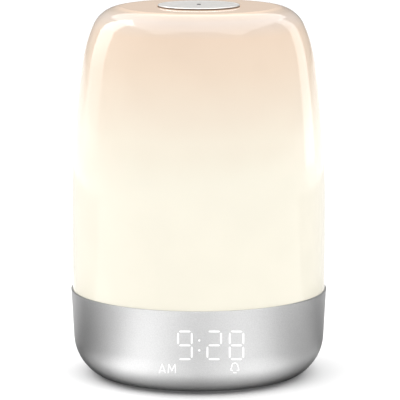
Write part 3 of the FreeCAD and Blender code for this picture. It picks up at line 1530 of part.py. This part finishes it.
# Nothing is written unless every object is sound
faults = ["%s: %s" % (thing.Name, thing.State) for thing in doc.Objects if {"Invalid", "Error"} & set(thing.State)]
for label, piece in nodes.items():
    if piece.Shape.isNull() or not piece.Shape.isValid() or not piece.Shape.Solids:
        faults.append("%s has no sound shape" % label)
if faults:
    raise RuntimeError("; ".join(faults))
os.makedirs("parts", exist_ok=True)
for label, piece in nodes.items():
    piece.Label = label
    piece.Shape.exportStep(os.path.join("parts", label + ".step"))
print("%d pieces" % len(nodes))
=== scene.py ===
import math

import bmesh
import bpy
from mathutils import Matrix, Vector


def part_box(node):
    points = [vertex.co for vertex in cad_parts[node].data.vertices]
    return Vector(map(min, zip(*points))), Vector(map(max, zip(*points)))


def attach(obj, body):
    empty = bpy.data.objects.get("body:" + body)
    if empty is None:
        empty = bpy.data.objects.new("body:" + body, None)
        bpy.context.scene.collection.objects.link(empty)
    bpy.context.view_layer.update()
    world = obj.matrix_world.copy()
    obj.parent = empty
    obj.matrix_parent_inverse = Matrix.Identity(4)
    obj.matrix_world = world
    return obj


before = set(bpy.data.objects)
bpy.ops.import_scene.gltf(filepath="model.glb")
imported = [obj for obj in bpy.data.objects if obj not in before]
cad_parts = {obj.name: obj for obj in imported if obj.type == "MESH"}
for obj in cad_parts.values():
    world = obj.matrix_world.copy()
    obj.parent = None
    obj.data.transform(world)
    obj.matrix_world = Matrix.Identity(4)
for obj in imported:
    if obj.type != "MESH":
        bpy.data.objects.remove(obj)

bpy.context.view_layer.update()

# Base shell
# The silver cup that the clock stands in: ABS, injection moulded in one shot, then sprayed with a fine
# metallic satin paint. Real flakes are about 0.03 mm, too fine to show, so they are drawn 0.35 mm across.


def linear(code):
    """A colour written as sRGB hex, as linear numbers."""
    parts = [int(code[i : i + 2], 16) / 255 for i in (1, 3, 5)]
    return [p / 12.92 if p <= 0.04045 else ((p + 0.055) / 1.055) ** 2.4 for p in parts] + [1.0]


def start_material(name):
    made = bpy.data.materials.new(name)
    made.use_nodes = True
    made.node_tree.nodes.clear()
    return made


def add(material, kind, sockets=None, **settings):
    """Adds a node to a material. A socket takes a value, or another node's output to be linked to it."""
    node = material.node_tree.nodes.new(kind)
    for name, value in settings.items():
        setattr(node, name, value)
    for name, value in (sockets or {}).items():
        if isinstance(value, bpy.types.NodeSocket):
            material.node_tree.links.new(value, node.inputs[name])
        else:
            node.inputs[name].default_value = value
    return node


def grained(material, spot_mm, colours, roughness=None, relief_mm=None, detail=2.0):
    """The sockets of a fine grain, whose spots are about spot_mm across.

    Colour and roughness wander between two ends from spot to spot, and relief_mm is the height of the spots.
    """
    place = add(material, "ShaderNodeTexCoord")
    scale = {"Vector": place.outputs["Object"], "Scale": 1000.0 / spot_mm, "Detail": detail, "Roughness": 0.55}
    spots = add(material, "ShaderNodeTexNoise", scale).outputs["Fac"]
    tint = add(material, "ShaderNodeValToRGB", {"Fac": spots})
    for stop, position, colour in zip(tint.color_ramp.elements, (0.35, 0.65), colours):
        stop.position, stop.color = position, linear(colour)
    sockets = {"Base Color": tint.outputs["Color"]}
    if roughness:
        ends = {"Value": spots, "From Min": 0.3, "From Max": 0.7, "To Min": roughness[0], "To Max": roughness[1]}
        sockets["Roughness"] = add(material, "ShaderNodeMapRange", ends).outputs["Result"]
    if relief_mm:
        relief = {"Height": spots, "Distance": relief_mm / 1000.0, "Strength": 1.0}
        sockets["Normal"] = add(material, "ShaderNodeBump", relief).outputs["Normal"]
    return sockets


def finish_material(material, sockets):
    """Adds the shader with its sockets, and the output."""
    shader = add(material, "ShaderNodeBsdfPrincipled", sockets)
    add(material, "ShaderNodeOutputMaterial", {"Surface": shader.outputs["BSDF"]})


def dress(material, *nodes):
    """Gives CAD nodes a finish."""
    for node in nodes:
        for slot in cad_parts[node].material_slots:
            slot.material = material


silver_paint = start_material("satin_silver_paint_on_abs")
finish_material(
    silver_paint,
    {**grained(silver_paint, 0.35, ("#c6c6c6", "#d2d2d2"), (0.33, 0.40), relief_mm=0.004), "Metallic": 0.9},
)
dress(silver_paint, "base_shell")

# Time display
# The lit figures are seen through the base's thin front wall, where the lamps behind it shine through the paint.
# Each bar is a lens-thin patch that follows the wall, as bright as the paper white lamps behind it.

RIM_RADIUS, RIM_UP, SIDE_DRAFT = 55.0, 37.3, math.radians(3.1)
CORNER_UP, CORNER_RADIUS = 17.4, 19.0
PATCH_PROUD, PATCH_DEPTH = 0.03, 0.10
DISPLAY_FRONT, DISPLAY_DROP = 54.2, 0.22


def wall_radius(up):
    """Radius of the base's outer wall at a height, both in millimetres."""
    corner_out = RIM_RADIUS - (RIM_UP - CORNER_UP) * math.tan(SIDE_DRAFT) - CORNER_RADIUS / math.cos(SIDE_DRAFT)
    if up >= CORNER_UP - CORNER_RADIUS * math.sin(SIDE_DRAFT):
        return RIM_RADIUS - (RIM_UP - up) * math.tan(SIDE_DRAFT)
    return corner_out + math.sqrt(CORNER_RADIUS**2 - (CORNER_UP - up) ** 2)


def to_object(mesh, name, material, body):
    """Puts a bmesh, drawn in millimetres, into the scene as a finished piece."""
    bmesh.ops.transform(mesh, matrix=Matrix.Scale(0.001, 4), verts=mesh.verts)
    data = bpy.data.meshes.new(name)
    mesh.to_mesh(data)
    mesh.free()
    data.materials.append(material)
    piece = bpy.data.objects.new(name, data)
    bpy.context.collection.objects.link(piece)
    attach(piece, body)
    return piece


def on_front(across, up, proud):
    """The place on the base's front wall where a point of the flat display behind it shows.

    The display is flat and is looked at from a little above, so its sides show lower on the round wall.
    """
    on_wall = up
    for _ in range(4):
        recess = DISPLAY_FRONT - math.sqrt(wall_radius(on_wall) ** 2 - across**2)
        on_wall = up - recess * DISPLAY_DROP
    return Vector((across, -math.sqrt((wall_radius(on_wall) + proud) ** 2 - across**2), on_wall))


def lay_on_front(mesh):
    """Wraps flat shapes, drawn across X and up Z, onto the front of the base, and gives them a thickness."""
    bmesh.ops.remove_doubles(mesh, verts=mesh.verts, dist=0.001)
    for vert in mesh.verts:
        vert.co = on_front(vert.co.x, vert.co.z, PATCH_PROUD)
    bmesh.ops.recalc_face_normals(mesh, faces=mesh.faces)
    if sum(face.normal.y for face in mesh.faces) > 0:
        bmesh.ops.reverse_faces(mesh, faces=mesh.faces)
    bmesh.ops.solidify(mesh, geom=mesh.faces, thickness=PATCH_DEPTH)
    bmesh.ops.recalc_face_normals(mesh, faces=mesh.faces)


def add_bar(mesh, across, up, length, upright=False):
    """One bar of a digit: a strip with narrowed ends, in steps short enough to follow the round wall."""
    made = bmesh.ops.create_grid(mesh, x_segments=BAR_STEPS, y_segments=2, size=0.5)["verts"]
    bmesh.ops.scale(mesh, vec=(length, BAR_WIDTH, 1), verts=made)
    ends = [v for v in made if abs(v.co.x) > length * 0.49]
    bmesh.ops.scale(mesh, vec=(1, BAR_TAPER, 1), verts=ends)
    turn = Matrix.Rotation(math.radians(90), 4, "X")
    if upright:
        turn = turn @ Matrix.Rotation(math.radians(90), 4, "Z")
    bmesh.ops.transform(mesh, matrix=Matrix.Translation((across, 0, up)) @ turn, verts=made)


# The bars that are lit for each figure: top, upper left, upper right, middle, lower left, lower right, bottom
LIT_BARS = {"9": (1, 1, 1, 1, 0, 1, 1), "2": (1, 0, 1, 1, 1, 0, 1), "8": (1, 1, 1, 1, 1, 1, 1)}
FIGURES_ACROSS = (("9", -5.72), ("2", 6.42), ("8", 15.68))
DIGIT_MIDDLE, DIGIT_REACH, DIGIT_HALF = 22.98, 5.86, 2.84
FLAT_BAR, TALL_BAR, BAR_WIDTH, BAR_TAPER, BAR_STEPS = 4.6, 4.7, 0.78, 0.55, 10
COLON_ACROSS, COLON_REACH, COLON_RADIUS = 0.22, 2.1, 0.48

lit_white = start_material("white_light_through_paint")
finish_material(
    lit_white,
    {
        "Base Color": linear("#8c8c8c"),
        "Emission Color": linear("#ffffff"),
        "Emission Strength": 0.85,
        "Roughness": 0.5,
    },
)
figures = bmesh.new()
for figure, middle in FIGURES_ACROSS:
    lit = LIT_BARS[figure]
    for number, level in ((0, 1), (3, 0), (6, -1)):
        if lit[number]:
            add_bar(figures, middle, DIGIT_MIDDLE + DIGIT_REACH * level, FLAT_BAR)
    for number, side, level in ((1, -1, 1), (2, 1, 1), (4, -1, -1), (5, 1, -1)):
        if lit[number]:
            bar_up = DIGIT_MIDDLE + DIGIT_REACH / 2 * level
            add_bar(figures, middle + DIGIT_HALF * side, bar_up, TALL_BAR, upright=True)
for level in (-1, 1):
    dot = bmesh.ops.create_circle(figures, cap_ends=True, segments=20, radius=COLON_RADIUS)["verts"]
    lift = Matrix.Translation((COLON_ACROSS, 0, DIGIT_MIDDLE + COLON_REACH * level))
    bmesh.ops.transform(figures, matrix=lift @ Matrix.Rotation(math.radians(90), 4, "X"), verts=dot)
lay_on_front(figures)
to_object(figures, "time_figures", lit_white, "clock")

# Morning sign and bell sign
# Two small signs below the figures, lit in the same way: the letters AM, and a bell that says the alarm is set.
# Each is drawn with lines of one thickness, pressed onto the round wall.

SIGN_UP, SIGN_STEP = 13.18, 0.4
STAND_UP = Matrix.Rotation(math.radians(90), 4, "X")


def line_sign(name, across, thickness, lines):
    """A lit sign drawn with lines of one thickness. Each line is a list of points, across and up."""
    curve = bpy.data.curves.new(name, "CURVE")
    curve.dimensions = "3D"
    curve.bevel_depth = thickness / 2
    curve.bevel_resolution = 2
    curve.use_fill_caps = True
    for line in lines:
        course = [line[0]]
        for (start_right, start_up), (end_right, end_up) in zip(line, line[1:]):
            steps = max(1, round(math.dist((start_right, start_up), (end_right, end_up)) / SIGN_STEP))
            for i in range(1, steps + 1):
                part = i / steps
                course.append((start_right + (end_right - start_right) * part, start_up + (end_up - start_up) * part))
        path = curve.splines.new("POLY")
        path.points.add(len(course) - 1)
        for point, (right, up) in zip(path.points, course):
            point.co = (right, up, 0, 1)
    holder = bpy.data.objects.new(name, curve)
    bpy.context.collection.objects.link(holder)
    bpy.context.view_layer.update()
    tubes = bpy.data.meshes.new_from_object(holder.evaluated_get(bpy.context.evaluated_depsgraph_get()))
    bpy.data.objects.remove(holder)
    mesh = bmesh.new()
    mesh.from_mesh(tubes)
    bpy.data.meshes.remove(tubes)
    bmesh.ops.transform(mesh, matrix=Matrix.Translation((across, 0, SIGN_UP)) @ STAND_UP, verts=mesh.verts)
    for vert in mesh.verts:
        vert.co = on_front(vert.co.x, vert.co.z, PATCH_PROUD - vert.co.y / thickness * PATCH_DEPTH)
    bmesh.ops.recalc_face_normals(mesh, faces=mesh.faces)
    return to_object(mesh, name, lit_white, "clock")


line_sign(
    "morning_sign",
    -13.02,
    0.46,
    [
        [(-3.45, -2.01), (-2.16, 1.91), (-0.79, -2.01)],
        [(-3.12, -1.00), (-1.14, -1.00)],
        [(0.32, -2.01), (0.62, 1.91), (1.85, -1.09), (3.17, 1.91), (3.38, -2.01)],
    ],
)
BELL_HALF = [(-0.80, -0.79), (-1.73, -0.79), (-1.44, 0.32), (-1.18, 1.5), (-0.78, 2.12), (0, 2.34)]
bell_other = [(-across, up) for across, up in reversed(BELL_HALF[:-1])]
line_sign("bell_sign", 14.98, 0.50, [BELL_HALF + bell_other, [(-0.72, -1.80), (0.72, -1.80)]])

# Diffuser dome
# The tall glowing cover: opal polycarbonate, moulded in one piece with a polished outside. The lamps in the base
# light it from below, so it is palest at the foot and turns peach towards the top, where less light comes.

opal = start_material("polished_opal_polycarbonate")
# The stops from 155.5 mm up are painted shade and painted light: the shoulder's rounding is painted darker, as the
# shade that falls there, and the flat top is painted lighter again.
GLOW_AND_SHOULDER_SHADE = [
    (37.3, "#c2c2b4"),
    (90.0, "#c4c3b5"),
    (107.0, "#ccc5b6"),
    (121.0, "#c7b9a8"),
    (136.0, "#c4ae99"),
    (149.0, "#c3a993"),
    (155.5, "#b4a49d"),
    (157.8, "#b09683"),
    (158.4, "#ffdabc"),
]
GLOW_LOW, GLOW_HIGH = 37.3, 158.4
glow_place = add(opal, "ShaderNodeTexCoord")
glow_axes = add(opal, "ShaderNodeSeparateXYZ", {"Vector": glow_place.outputs["Object"]})
glow_height = add(
    opal,
    "ShaderNodeMapRange",
    {"Value": glow_axes.outputs["Z"], "From Min": GLOW_LOW / 1000, "From Max": GLOW_HIGH / 1000},
)
glow_and_shade_ramp = add(opal, "ShaderNodeValToRGB", {"Fac": glow_height.outputs["Result"]})
glow_and_shade_stops = glow_and_shade_ramp.color_ramp.elements
while len(glow_and_shade_stops) < len(GLOW_AND_SHOULDER_SHADE):
    glow_and_shade_stops.new(0.5)
for stop, (stop_up, stop_colour) in zip(glow_and_shade_stops, GLOW_AND_SHOULDER_SHADE):
    stop.position = (stop_up - GLOW_LOW) / (GLOW_HIGH - GLOW_LOW)
for stop, (stop_up, stop_colour) in zip(glow_and_shade_stops, GLOW_AND_SHOULDER_SHADE):
    stop.color = linear(stop_colour)
finish_material(
    opal,
    {
        **grained(opal, 22.0, ("#b9b0a3", "#bdb4a7"), detail=1.0),
        "Emission Color": glow_and_shade_ramp.outputs["Color"],
        "Emission Strength": 1.0,
        "Roughness": 0.5,
        "Specular IOR Level": 0.0,
        "Coat Weight": 1.0,
        "Coat Roughness": 0.075,
        "Coat IOR": 1.58,
    },
)
dress(opal, "diffuser_dome")

# Press plate
# The round plate on the dome, turned from aluminium sheet, bead blasted and anodised clear, so it is softly matt.
# Its low side wall below the blasted edge is painted a dark warm metal: painted shade, so it outlines the plate. A
# black capsule in its middle, filled with ink, marks where to press.

blasted = start_material("bead_blasted_aluminium")
beads = grained(blasted, 0.3, ("#dad8d5", "#e4e2df"), (0.40, 0.48), relief_mm=0.006)
plate_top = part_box("button_plate")[1][2]
# The lower side wall gets a dark warm colour here: painted shade, fading in over the last tenth of a millimetre.
SHADE_BELOW, SHADE_FADE = 0.30, 0.10
plate_place = add(blasted, "ShaderNodeTexCoord")
plate_axes = add(blasted, "ShaderNodeSeparateXYZ", {"Vector": plate_place.outputs["Object"]})
shade_top = plate_top - SHADE_BELOW / 1000
side_shade_mask = add(
    blasted,
    "ShaderNodeMapRange",
    {"Value": plate_axes.outputs["Z"], "From Min": shade_top - SHADE_FADE / 1000, "From Max": shade_top},
)
plate_colour_with_side_shade = add(
    blasted,
    "ShaderNodeMixRGB",
    {"Fac": side_shade_mask.outputs["Result"], "Color1": linear("#6e5c50"), "Color2": beads["Base Color"]},
)
finish_material(blasted, {**beads, "Base Color": plate_colour_with_side_shade.outputs["Color"], "Metallic": 1.0})
dress(blasted, "button_plate")

ink = start_material("black_filler_ink")
finish_material(ink, grained(ink, 0.4, ("#2c2b2a", "#383634"), (0.45, 0.6)))
MARK_HALF, MARK_ROUND, MARK_SUNK, INK_DEPTH = 1.65, 0.84, 0.03, 0.15
mark_top = plate_top * 1000 - MARK_SUNK
mark = bmesh.new()
bmesh.ops.create_circle(mark, cap_ends=True, segments=40, radius=MARK_ROUND)
for vert in mark.verts:
    vert.co.y += MARK_HALF if vert.co.y > 0 else -MARK_HALF
bmesh.ops.translate(mark, vec=(0, 0, mark_top), verts=mark.verts)
mark_side = bmesh.ops.extrude_face_region(mark, geom=mark.faces[:])["geom"]
bmesh.ops.translate(mark, vec=(0, 0, -INK_DEPTH), verts=[v for v in mark_side if isinstance(v, bmesh.types.BMVert)])
bmesh.ops.recalc_face_normals(mark, faces=mark.faces)
to_object(mark, "index_mark", ink, "top_button")

# Keys and power socket
# Five moulded keys, painted with the base, sit in a row at the back above the socket for a round power plug.
# The socket is moulded in black ABS, softly matt; its pin is turned brass with a bright nickel plating.

dress(silver_paint, *["%s_key" % name for name in ("set", "down", "alarm", "up", "sound")])

black_abs = start_material("black_moulded_abs")
finish_material(black_abs, grained(black_abs, 0.5, ("#1b1b1c", "#242425"), (0.42, 0.55), relief_mm=0.01))
dress(black_abs, "power_socket", "display_header", "key_switches", "top_switch", "controller_chip", "cell_holder")
dress(black_abs, *["%s_plunger" % name for name in ("set", "down", "alarm", "up", "sound")])

# Bright, with a faint yellow of the brass below
nickel = start_material("nickel_plated_brass")
finish_material(nickel, {**grained(nickel, 0.2, ("#c9bd9f", "#d8cdb2"), (0.18, 0.28)), "Metallic": 1.0})
dress(nickel, "socket_pin")

# Underside
# A dark grey moulded cover with a spark-eroded texture, which holds the speaker grille, the cell's coin door and
# four rubber feet. Zinc plated screws hold it.

eroded = start_material("dark_grey_moulded_abs")
finish_material(eroded, grained(eroded, 0.45, ("#5d5e60", "#6b6c6e"), (0.5, 0.62), relief_mm=0.02, detail=3.0))
dress(eroded, "bottom_cover", "cell_door")

# Dull and almost black, as moulded silicone is
rubber = start_material("black_silicone_rubber")
finish_material(rubber, grained(rubber, 0.6, ("#1f1f20", "#29292a"), (0.72, 0.85), relief_mm=0.012))
dress(rubber, "rubber_feet", "speaker_gasket")

# Cold grey metal with a soft shine
zinc = start_material("zinc_plated_steel")
finish_material(zinc, {**grained(zinc, 0.3, ("#9fa1a4", "#b4b6b8"), (0.28, 0.4)), "Metallic": 1.0})
dress(zinc, "cover_screws", "board_screws", "light_screws", "dome_screws", "cup_screws", "speaker_screws")
dress(zinc, "cell_spring", "cell_clip", "backup_cell")

# Inside
# White moulded carriers and the reflector, circuit boards with their lamps and parts, and the speaker with its
# paper cone and black pressed steel basket. None of them shows while the clock is whole.

white_abs = start_material("white_moulded_abs")
finish_material(white_abs, grained(white_abs, 0.6, ("#e6e6e2", "#efefec"), (0.38, 0.5), relief_mm=0.008))
dress(white_abs, "button_carrier", "switch_cup", "cable_tube", "reflector", "mid_frame", "display_block")
dress(white_abs, "switch_ribbon")

# The one strong colour inside: a tactile switch's plunger
red_abs = start_material("red_moulded_nylon")
finish_material(red_abs, grained(red_abs, 0.4, ("#a3261f", "#b5302a"), (0.4, 0.5)))
dress(red_abs, "top_switch_plunger")

# Green and glossy, with low steps where copper tracks run below, about 3 mm apart
solder_mask = start_material("green_solder_mask_on_glass_epoxy")
finish_material(
    solder_mask,
    grained(solder_mask, 3.0, ("#12572f", "#1c6a3c"), (0.25, 0.35), relief_mm=0.03, detail=0.0),
)
dress(solder_mask, "switch_board", "light_board", "main_board", "display_board", "key_board")

# Pale yellow fill over each lamp's chip, lit
phosphor = start_material("phosphor_filled_silicone")
finish_material(
    phosphor,
    {
        **grained(phosphor, 0.5, ("#f0df9a", "#f7ebb8"), (0.35, 0.45)),
        "Emission Color": linear("#ffe9bd"),
        "Emission Strength": 1.0,
    },
)
dress(phosphor, "warm_lamps", "colour_lamps", "display_lamps")

# Pale metal under a clear sleeve
can_metal = start_material("sleeved_aluminium_can")
finish_material(can_metal, {**grained(can_metal, 0.4, ("#a9acb0", "#b9bcc0"), (0.3, 0.4)), "Metallic": 0.9})
dress(can_metal, "board_capacitors")

# Black paint with a low shine, thin over the steel
black_steel = start_material("black_painted_pressed_steel")
finish_material(black_steel, {**grained(black_steel, 0.5, ("#232325", "#2f2f31"), (0.35, 0.5)), "Metallic": 0.3})
dress(black_steel, "speaker_basket", "speaker_magnet")

# Dull and fibrous, from felted pulp
cone_paper = start_material("black_pulp_paper")
finish_material(cone_paper, grained(cone_paper, 0.8, ("#1d1c1b", "#302e2c"), (0.75, 0.9), relief_mm=0.04, detail=4.0))
dress(cone_paper, "speaker_cone")

# Studio
# A plain white floor, a wide soft light overhead, two soft fills in front, and a tall strip light behind at each
# side that draws the upright reflections on the dome. A small light adds the short gleam on the left shoulder.

FLOOR_HALF, FLOOR_GLOW, ROOM_LIGHT = 6.0, 0.07, 0.22
floor_mesh = bmesh.new()
bmesh.ops.create_grid(floor_mesh, x_segments=1, y_segments=1, size=FLOOR_HALF)
floor_data = bpy.data.meshes.new("studio_floor")
floor_mesh.to_mesh(floor_data)
floor_mesh.free()
studio_floor = bpy.data.objects.new("studio_floor", floor_data)
bpy.context.collection.objects.link(studio_floor)

floor_white = start_material("white_studio_floor")
seen = add(floor_white, "ShaderNodeLightPath")
seen_or_mirrored = add(
    floor_white,
    "ShaderNodeMath",
    {0: seen.outputs["Is Camera Ray"], 1: seen.outputs["Is Glossy Ray"]},
    operation="MAXIMUM",
)
seen_at_all = add(
    floor_white,
    "ShaderNodeMath",
    {0: seen_or_mirrored.outputs[0], 1: seen.outputs["Is Transmission Ray"]},
    operation="MAXIMUM",
)
floor_glow = add(floor_white, "ShaderNodeMath", {0: seen_at_all.outputs[0], 1: FLOOR_GLOW}, operation="MULTIPLY")
finish_material(
    floor_white,
    {
        "Base Color": linear("#f4f4f4"),
        "Roughness": 0.9,
        "Specular IOR Level": 0.0,
        "Emission Color": linear("#ffffff"),
        "Emission Strength": floor_glow.outputs[0],
    },
)

# The floor is painted on its upper side only, so that the underside can be looked at from below.
floor_tree = floor_white.node_tree
floor_side = add(floor_white, "ShaderNodeNewGeometry")
floor_clear = add(floor_white, "ShaderNodeBsdfTransparent")
floor_paint = floor_tree.nodes["Principled BSDF"].outputs["BSDF"]
floor_seen = add(
    floor_white,
    "ShaderNodeMixShader",
    {0: floor_side.outputs["Backfacing"], 1: floor_paint, 2: floor_clear.outputs["BSDF"]},
)
floor_tree.links.new(floor_seen.outputs[0], floor_tree.nodes["Material Output"].inputs["Surface"])
floor_data.materials.append(floor_white)

world = bpy.data.worlds.new("studio_room")
world.use_nodes = True
bpy.context.scene.world = world
room = world.node_tree.nodes
room.clear()
room_light = room.new("ShaderNodeBackground")
room_light.inputs["Color"].default_value = linear("#ffffff")
room_light.inputs["Strength"].default_value = ROOM_LIGHT
room_end = room.new("ShaderNodeOutputWorld")
world.node_tree.links.new(room_light.outputs[0], room_end.inputs[0])


def soft_light(name, bearing, distance, height, wide, tall, brightness, aim=(0, 0, 0.08), lean=0):
    """A rectangular soft light.

    bearing is in degrees from the camera's side, to the right. brightness is how bright its face is, where 1 is white.
    """
    data = bpy.data.lights.new(name, "AREA")
    data.shape = "RECTANGLE"
    data.size, data.size_y = wide, tall
    data.energy = brightness * math.pi * wide * tall
    lamp = bpy.data.objects.new(name, data)
    bpy.context.collection.objects.link(lamp)
    turn = math.radians(bearing)
    lamp.location = (distance * math.sin(turn), -distance * math.cos(turn), height)
    facing = (Vector(aim) - lamp.location).to_track_quat("-Z", "Y").to_matrix()
    lamp.rotation_euler = (facing @ Matrix.Rotation(math.radians(lean), 3, "Z")).to_euler()
    lamp.visible_camera = False
    return lamp


def dim_foot(lamp, tone, reach):
    """Dims the lower end of a light to a tone, over a part of its height."""
    data = lamp.data
    data.use_nodes = True
    place = add(data, "ShaderNodeNewGeometry")
    axes = add(data, "ShaderNodeSeparateXYZ", {"Vector": place.outputs["Parametric"]})
    fade = add(
        data,
        "ShaderNodeMapRange",
        {"Value": axes.outputs["Y"], "From Min": 0.0, "From Max": reach, "To Min": tone, "To Max": 1.0},
    )
    data.node_tree.links.new(fade.outputs["Result"], data.node_tree.nodes["Emission"].inputs["Strength"])


def group(name, pieces, link_state):
    """A collection that a lamp's light linking takes in or leaves out."""
    made = bpy.data.collections.new(name)
    for piece in pieces:
        made.objects.link(piece)
    for entry in made.collection_objects:
        entry.light_linking.link_state = link_state
    return made


def keep_off(lamp, *nodes):
    """Flags a light, so that it misses some pieces."""
    flagged = [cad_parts[node] for node in nodes]
    lamp.light_linking.receiver_collection = group(lamp.name + "_flag", flagged, "EXCLUDE")


soft_light("overhead", 180, 0.9, 1.7, 3.0, 4.0, 1.45, aim=(0, 0.9, 0))
strip_left = soft_light("strip_left", -121, 0.85, 0.55, 0.40, 1.1, 3.4, aim=(0, 0, 0.55), lean=5)
dim_foot(strip_left, 0.0, 0.45)
strip_right = soft_light("strip_right", 127, 0.95, 0.40, 0.30, 0.95, 1.5, aim=(0, 0, 0.40), lean=-16)
for side, bearing in (("left", -58), ("right", 58)):
    fill = soft_light("fill_" + side, bearing, 1.4, 1.5, 2.0, 1.5, 1.6, aim=(0, 0, 0))
    keep_off(fill, "diffuser_dome", "base_shell")
keep_off(strip_left, "base_shell")
keep_off(strip_right, "base_shell")
soft_light("small_left", -108, 0.70, 0.85, 0.16, 0.10, 2.6, aim=(0, 0, 0.15))

# One lamp under the floor lights only the pieces of the underside, for looks from below.
under_lamp = soft_light("under_lamp", 150, 0.5, -0.8, 0.7, 0.7, 4.0, aim=(0, 0, 0))
downward = [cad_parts[node] for node in ("bottom_cover", "cell_door", "cover_screws", "rubber_feet")]
under_lamp.light_linking.receiver_collection = group("under_lamp_lit", downward, "INCLUDE")
under_lamp.light_linking.blocker_collection = group("under_lamp_passes", [studio_floor], "EXCLUDE")

# A ring of card lies round the foot, seen in reflections only: it paints the reflections in the metal, whose bright
# front and dark sides come from it.
# The card is dark close to the foot, a painted shade of the floor under the foot, and past its outer edge it is one
# even tone.

CARD_TURNS = [
    (-180, 1.8), (-160, 1.4), (-138, 0.9), (-118, 0.4), (-102, 0.12), (-83, 0.33), (-66, 0.8), (-45, 1.9), (-31, 1.8),
    (-17, 1.4), (0, 1.1), (14, 1.35), (33, 1.6), (47, 1.33), (63, 0.78), (79, 0.56), (98, 0.52), (113, 0.18),
    (132, 0.42), (160, 1.2), (180, 1.8),
]  # degrees from the camera's side, and how bright the card is there
# Radii and heights are in metres and tones count 1 as white. The dark middle lies CARD_SHIFT behind the clock's, and
# the outer part of the ring is only kept behind CARD_SIDE, a share of its radius.
CARD_INNER, CARD_OUTER, CARD_FAR, CARD_UP, CARD_TOP = 0.040, 0.21, 0.65, 0.0004, 2.0
CARD_FOOT, CARD_LIT, CARD_FOOT_SHADE_TONE, CARD_FAR_TONE = 0.0510, 0.0645, 0.03, 0.92
CARD_SHIFT, CARD_SIDE, CARD_EDGE = 0.006, 0.15, 1.2
card_mesh = bmesh.new()
rim = bmesh.ops.create_circle(card_mesh, segments=96, radius=CARD_INNER)["verts"]
edges = card_mesh.edges[:]
for wider in (CARD_OUTER / CARD_INNER, CARD_FAR / CARD_OUTER):
    made = bmesh.ops.extrude_edge_only(card_mesh, edges=edges)["geom"]
    rim = [v for v in made if isinstance(v, bmesh.types.BMVert)]
    edges = [e for e in made if isinstance(e, bmesh.types.BMEdge) and all(v in rim for v in e.verts)]
    bmesh.ops.scale(card_mesh, vec=(wider, wider, 1), verts=rim)
front = [
    face
    for face in card_mesh.faces
    if face.calc_center_median().length > CARD_OUTER and face.calc_center_median().normalized().y < CARD_SIDE
]
bmesh.ops.delete(card_mesh, geom=front, context="FACES")
bmesh.ops.translate(card_mesh, vec=(0, 0, CARD_UP), verts=card_mesh.verts)
card_data = bpy.data.meshes.new("reflector_card")
card_mesh.to_mesh(card_data)
card_mesh.free()
card = bpy.data.objects.new("reflector_card", card_data)
bpy.context.collection.objects.link(card)
card.visible_camera = card.visible_diffuse = card.visible_shadow = card.visible_transmission = False

card_paper = start_material("graded_reflector_card")
card_place = add(card_paper, "ShaderNodeTexCoord")
card_axes = add(card_paper, "ShaderNodeSeparateXYZ", {"Vector": card_place.outputs["Object"]})
card_front = add(card_paper, "ShaderNodeMath", {0: card_axes.outputs["Y"], 1: -1.0}, operation="MULTIPLY")
card_angle = add(
    card_paper, "ShaderNodeMath", {0: card_axes.outputs["X"], 1: card_front.outputs[0]}, operation="ARCTAN2"
)
card_turn = add(
    card_paper, "ShaderNodeMapRange", {"Value": card_angle.outputs[0], "From Min": -math.pi, "From Max": math.pi}
)
card_tone = add(card_paper, "ShaderNodeValToRGB", {"Fac": card_turn.outputs["Result"]})
card_stops = card_tone.color_ramp.elements
while len(card_stops) < len(CARD_TURNS):
    card_stops.new(0.5)
for stop, (degrees, tone) in zip(card_stops, CARD_TURNS):
    stop.position = (degrees + 180) / 360
for stop, (degrees, tone) in zip(card_stops, CARD_TURNS):
    stop.color = (*[tone / CARD_TOP] * 3, 1)
card_reach = add(
    card_paper, "ShaderNodeVectorMath", {0: card_place.outputs["Object"], 1: (0, CARD_SHIFT, 0)}, operation="DISTANCE"
)
# The dark band close to the foot is painted shade, seen only in the metal's reflection.
card_foot_shade = add(
    card_paper,
    "ShaderNodeMapRange",
    {
        "Value": card_reach.outputs["Value"],
        "From Min": CARD_FOOT,
        "From Max": CARD_LIT,
        "To Min": CARD_FOOT_SHADE_TONE * CARD_TOP,
        "To Max": CARD_TOP,
    },
)
card_beyond = add(
    card_paper,
    "ShaderNodeMapRange",
    {"Value": card_reach.outputs["Value"], "From Min": CARD_OUTER, "From Max": CARD_OUTER * CARD_EDGE},
)
card_colour = add(
    card_paper,
    "ShaderNodeMixRGB",
    {
        "Fac": card_beyond.outputs["Result"],
        "Color1": card_tone.outputs["Color"],
        "Color2": (*[CARD_FAR_TONE / CARD_TOP] * 3, 1),
    },
)
card_glow = add(
    card_paper,
    "ShaderNodeEmission",
    {"Color": card_colour.outputs["Color"], "Strength": card_foot_shade.outputs["Result"]},
)
add(card_paper, "ShaderNodeOutputMaterial", {"Surface": card_glow.outputs["Emission"]})
card_data.materials.append(card_paper)

# Camera
# A long lens 1.2 m in front of the clock and slightly above it, looking down by the tilt. LENS_PIXELS is its focal
# length in pixels of the 400 pixel wide picture.

CAMERA_PLACE, CAMERA_TILT = (0.00053, -1.2229, 0.27784), 9.42
LENS_PIXELS, PICTURE_PIXELS = 2886.9, 400
eye = bpy.data.cameras.new("camera")
eye.sensor_width = 36.0
eye.lens = LENS_PIXELS / PICTURE_PIXELS * eye.sensor_width
camera = bpy.data.objects.new("camera", eye)
camera.location = CAMERA_PLACE
camera.rotation_euler = (math.radians(90 - CAMERA_TILT), 0, 0)
bpy.context.collection.objects.link(camera)
bpy.context.scene.camera = camera
bpy.context.scene.view_settings.view_transform = "Standard"

bpy.context.view_layer.update()
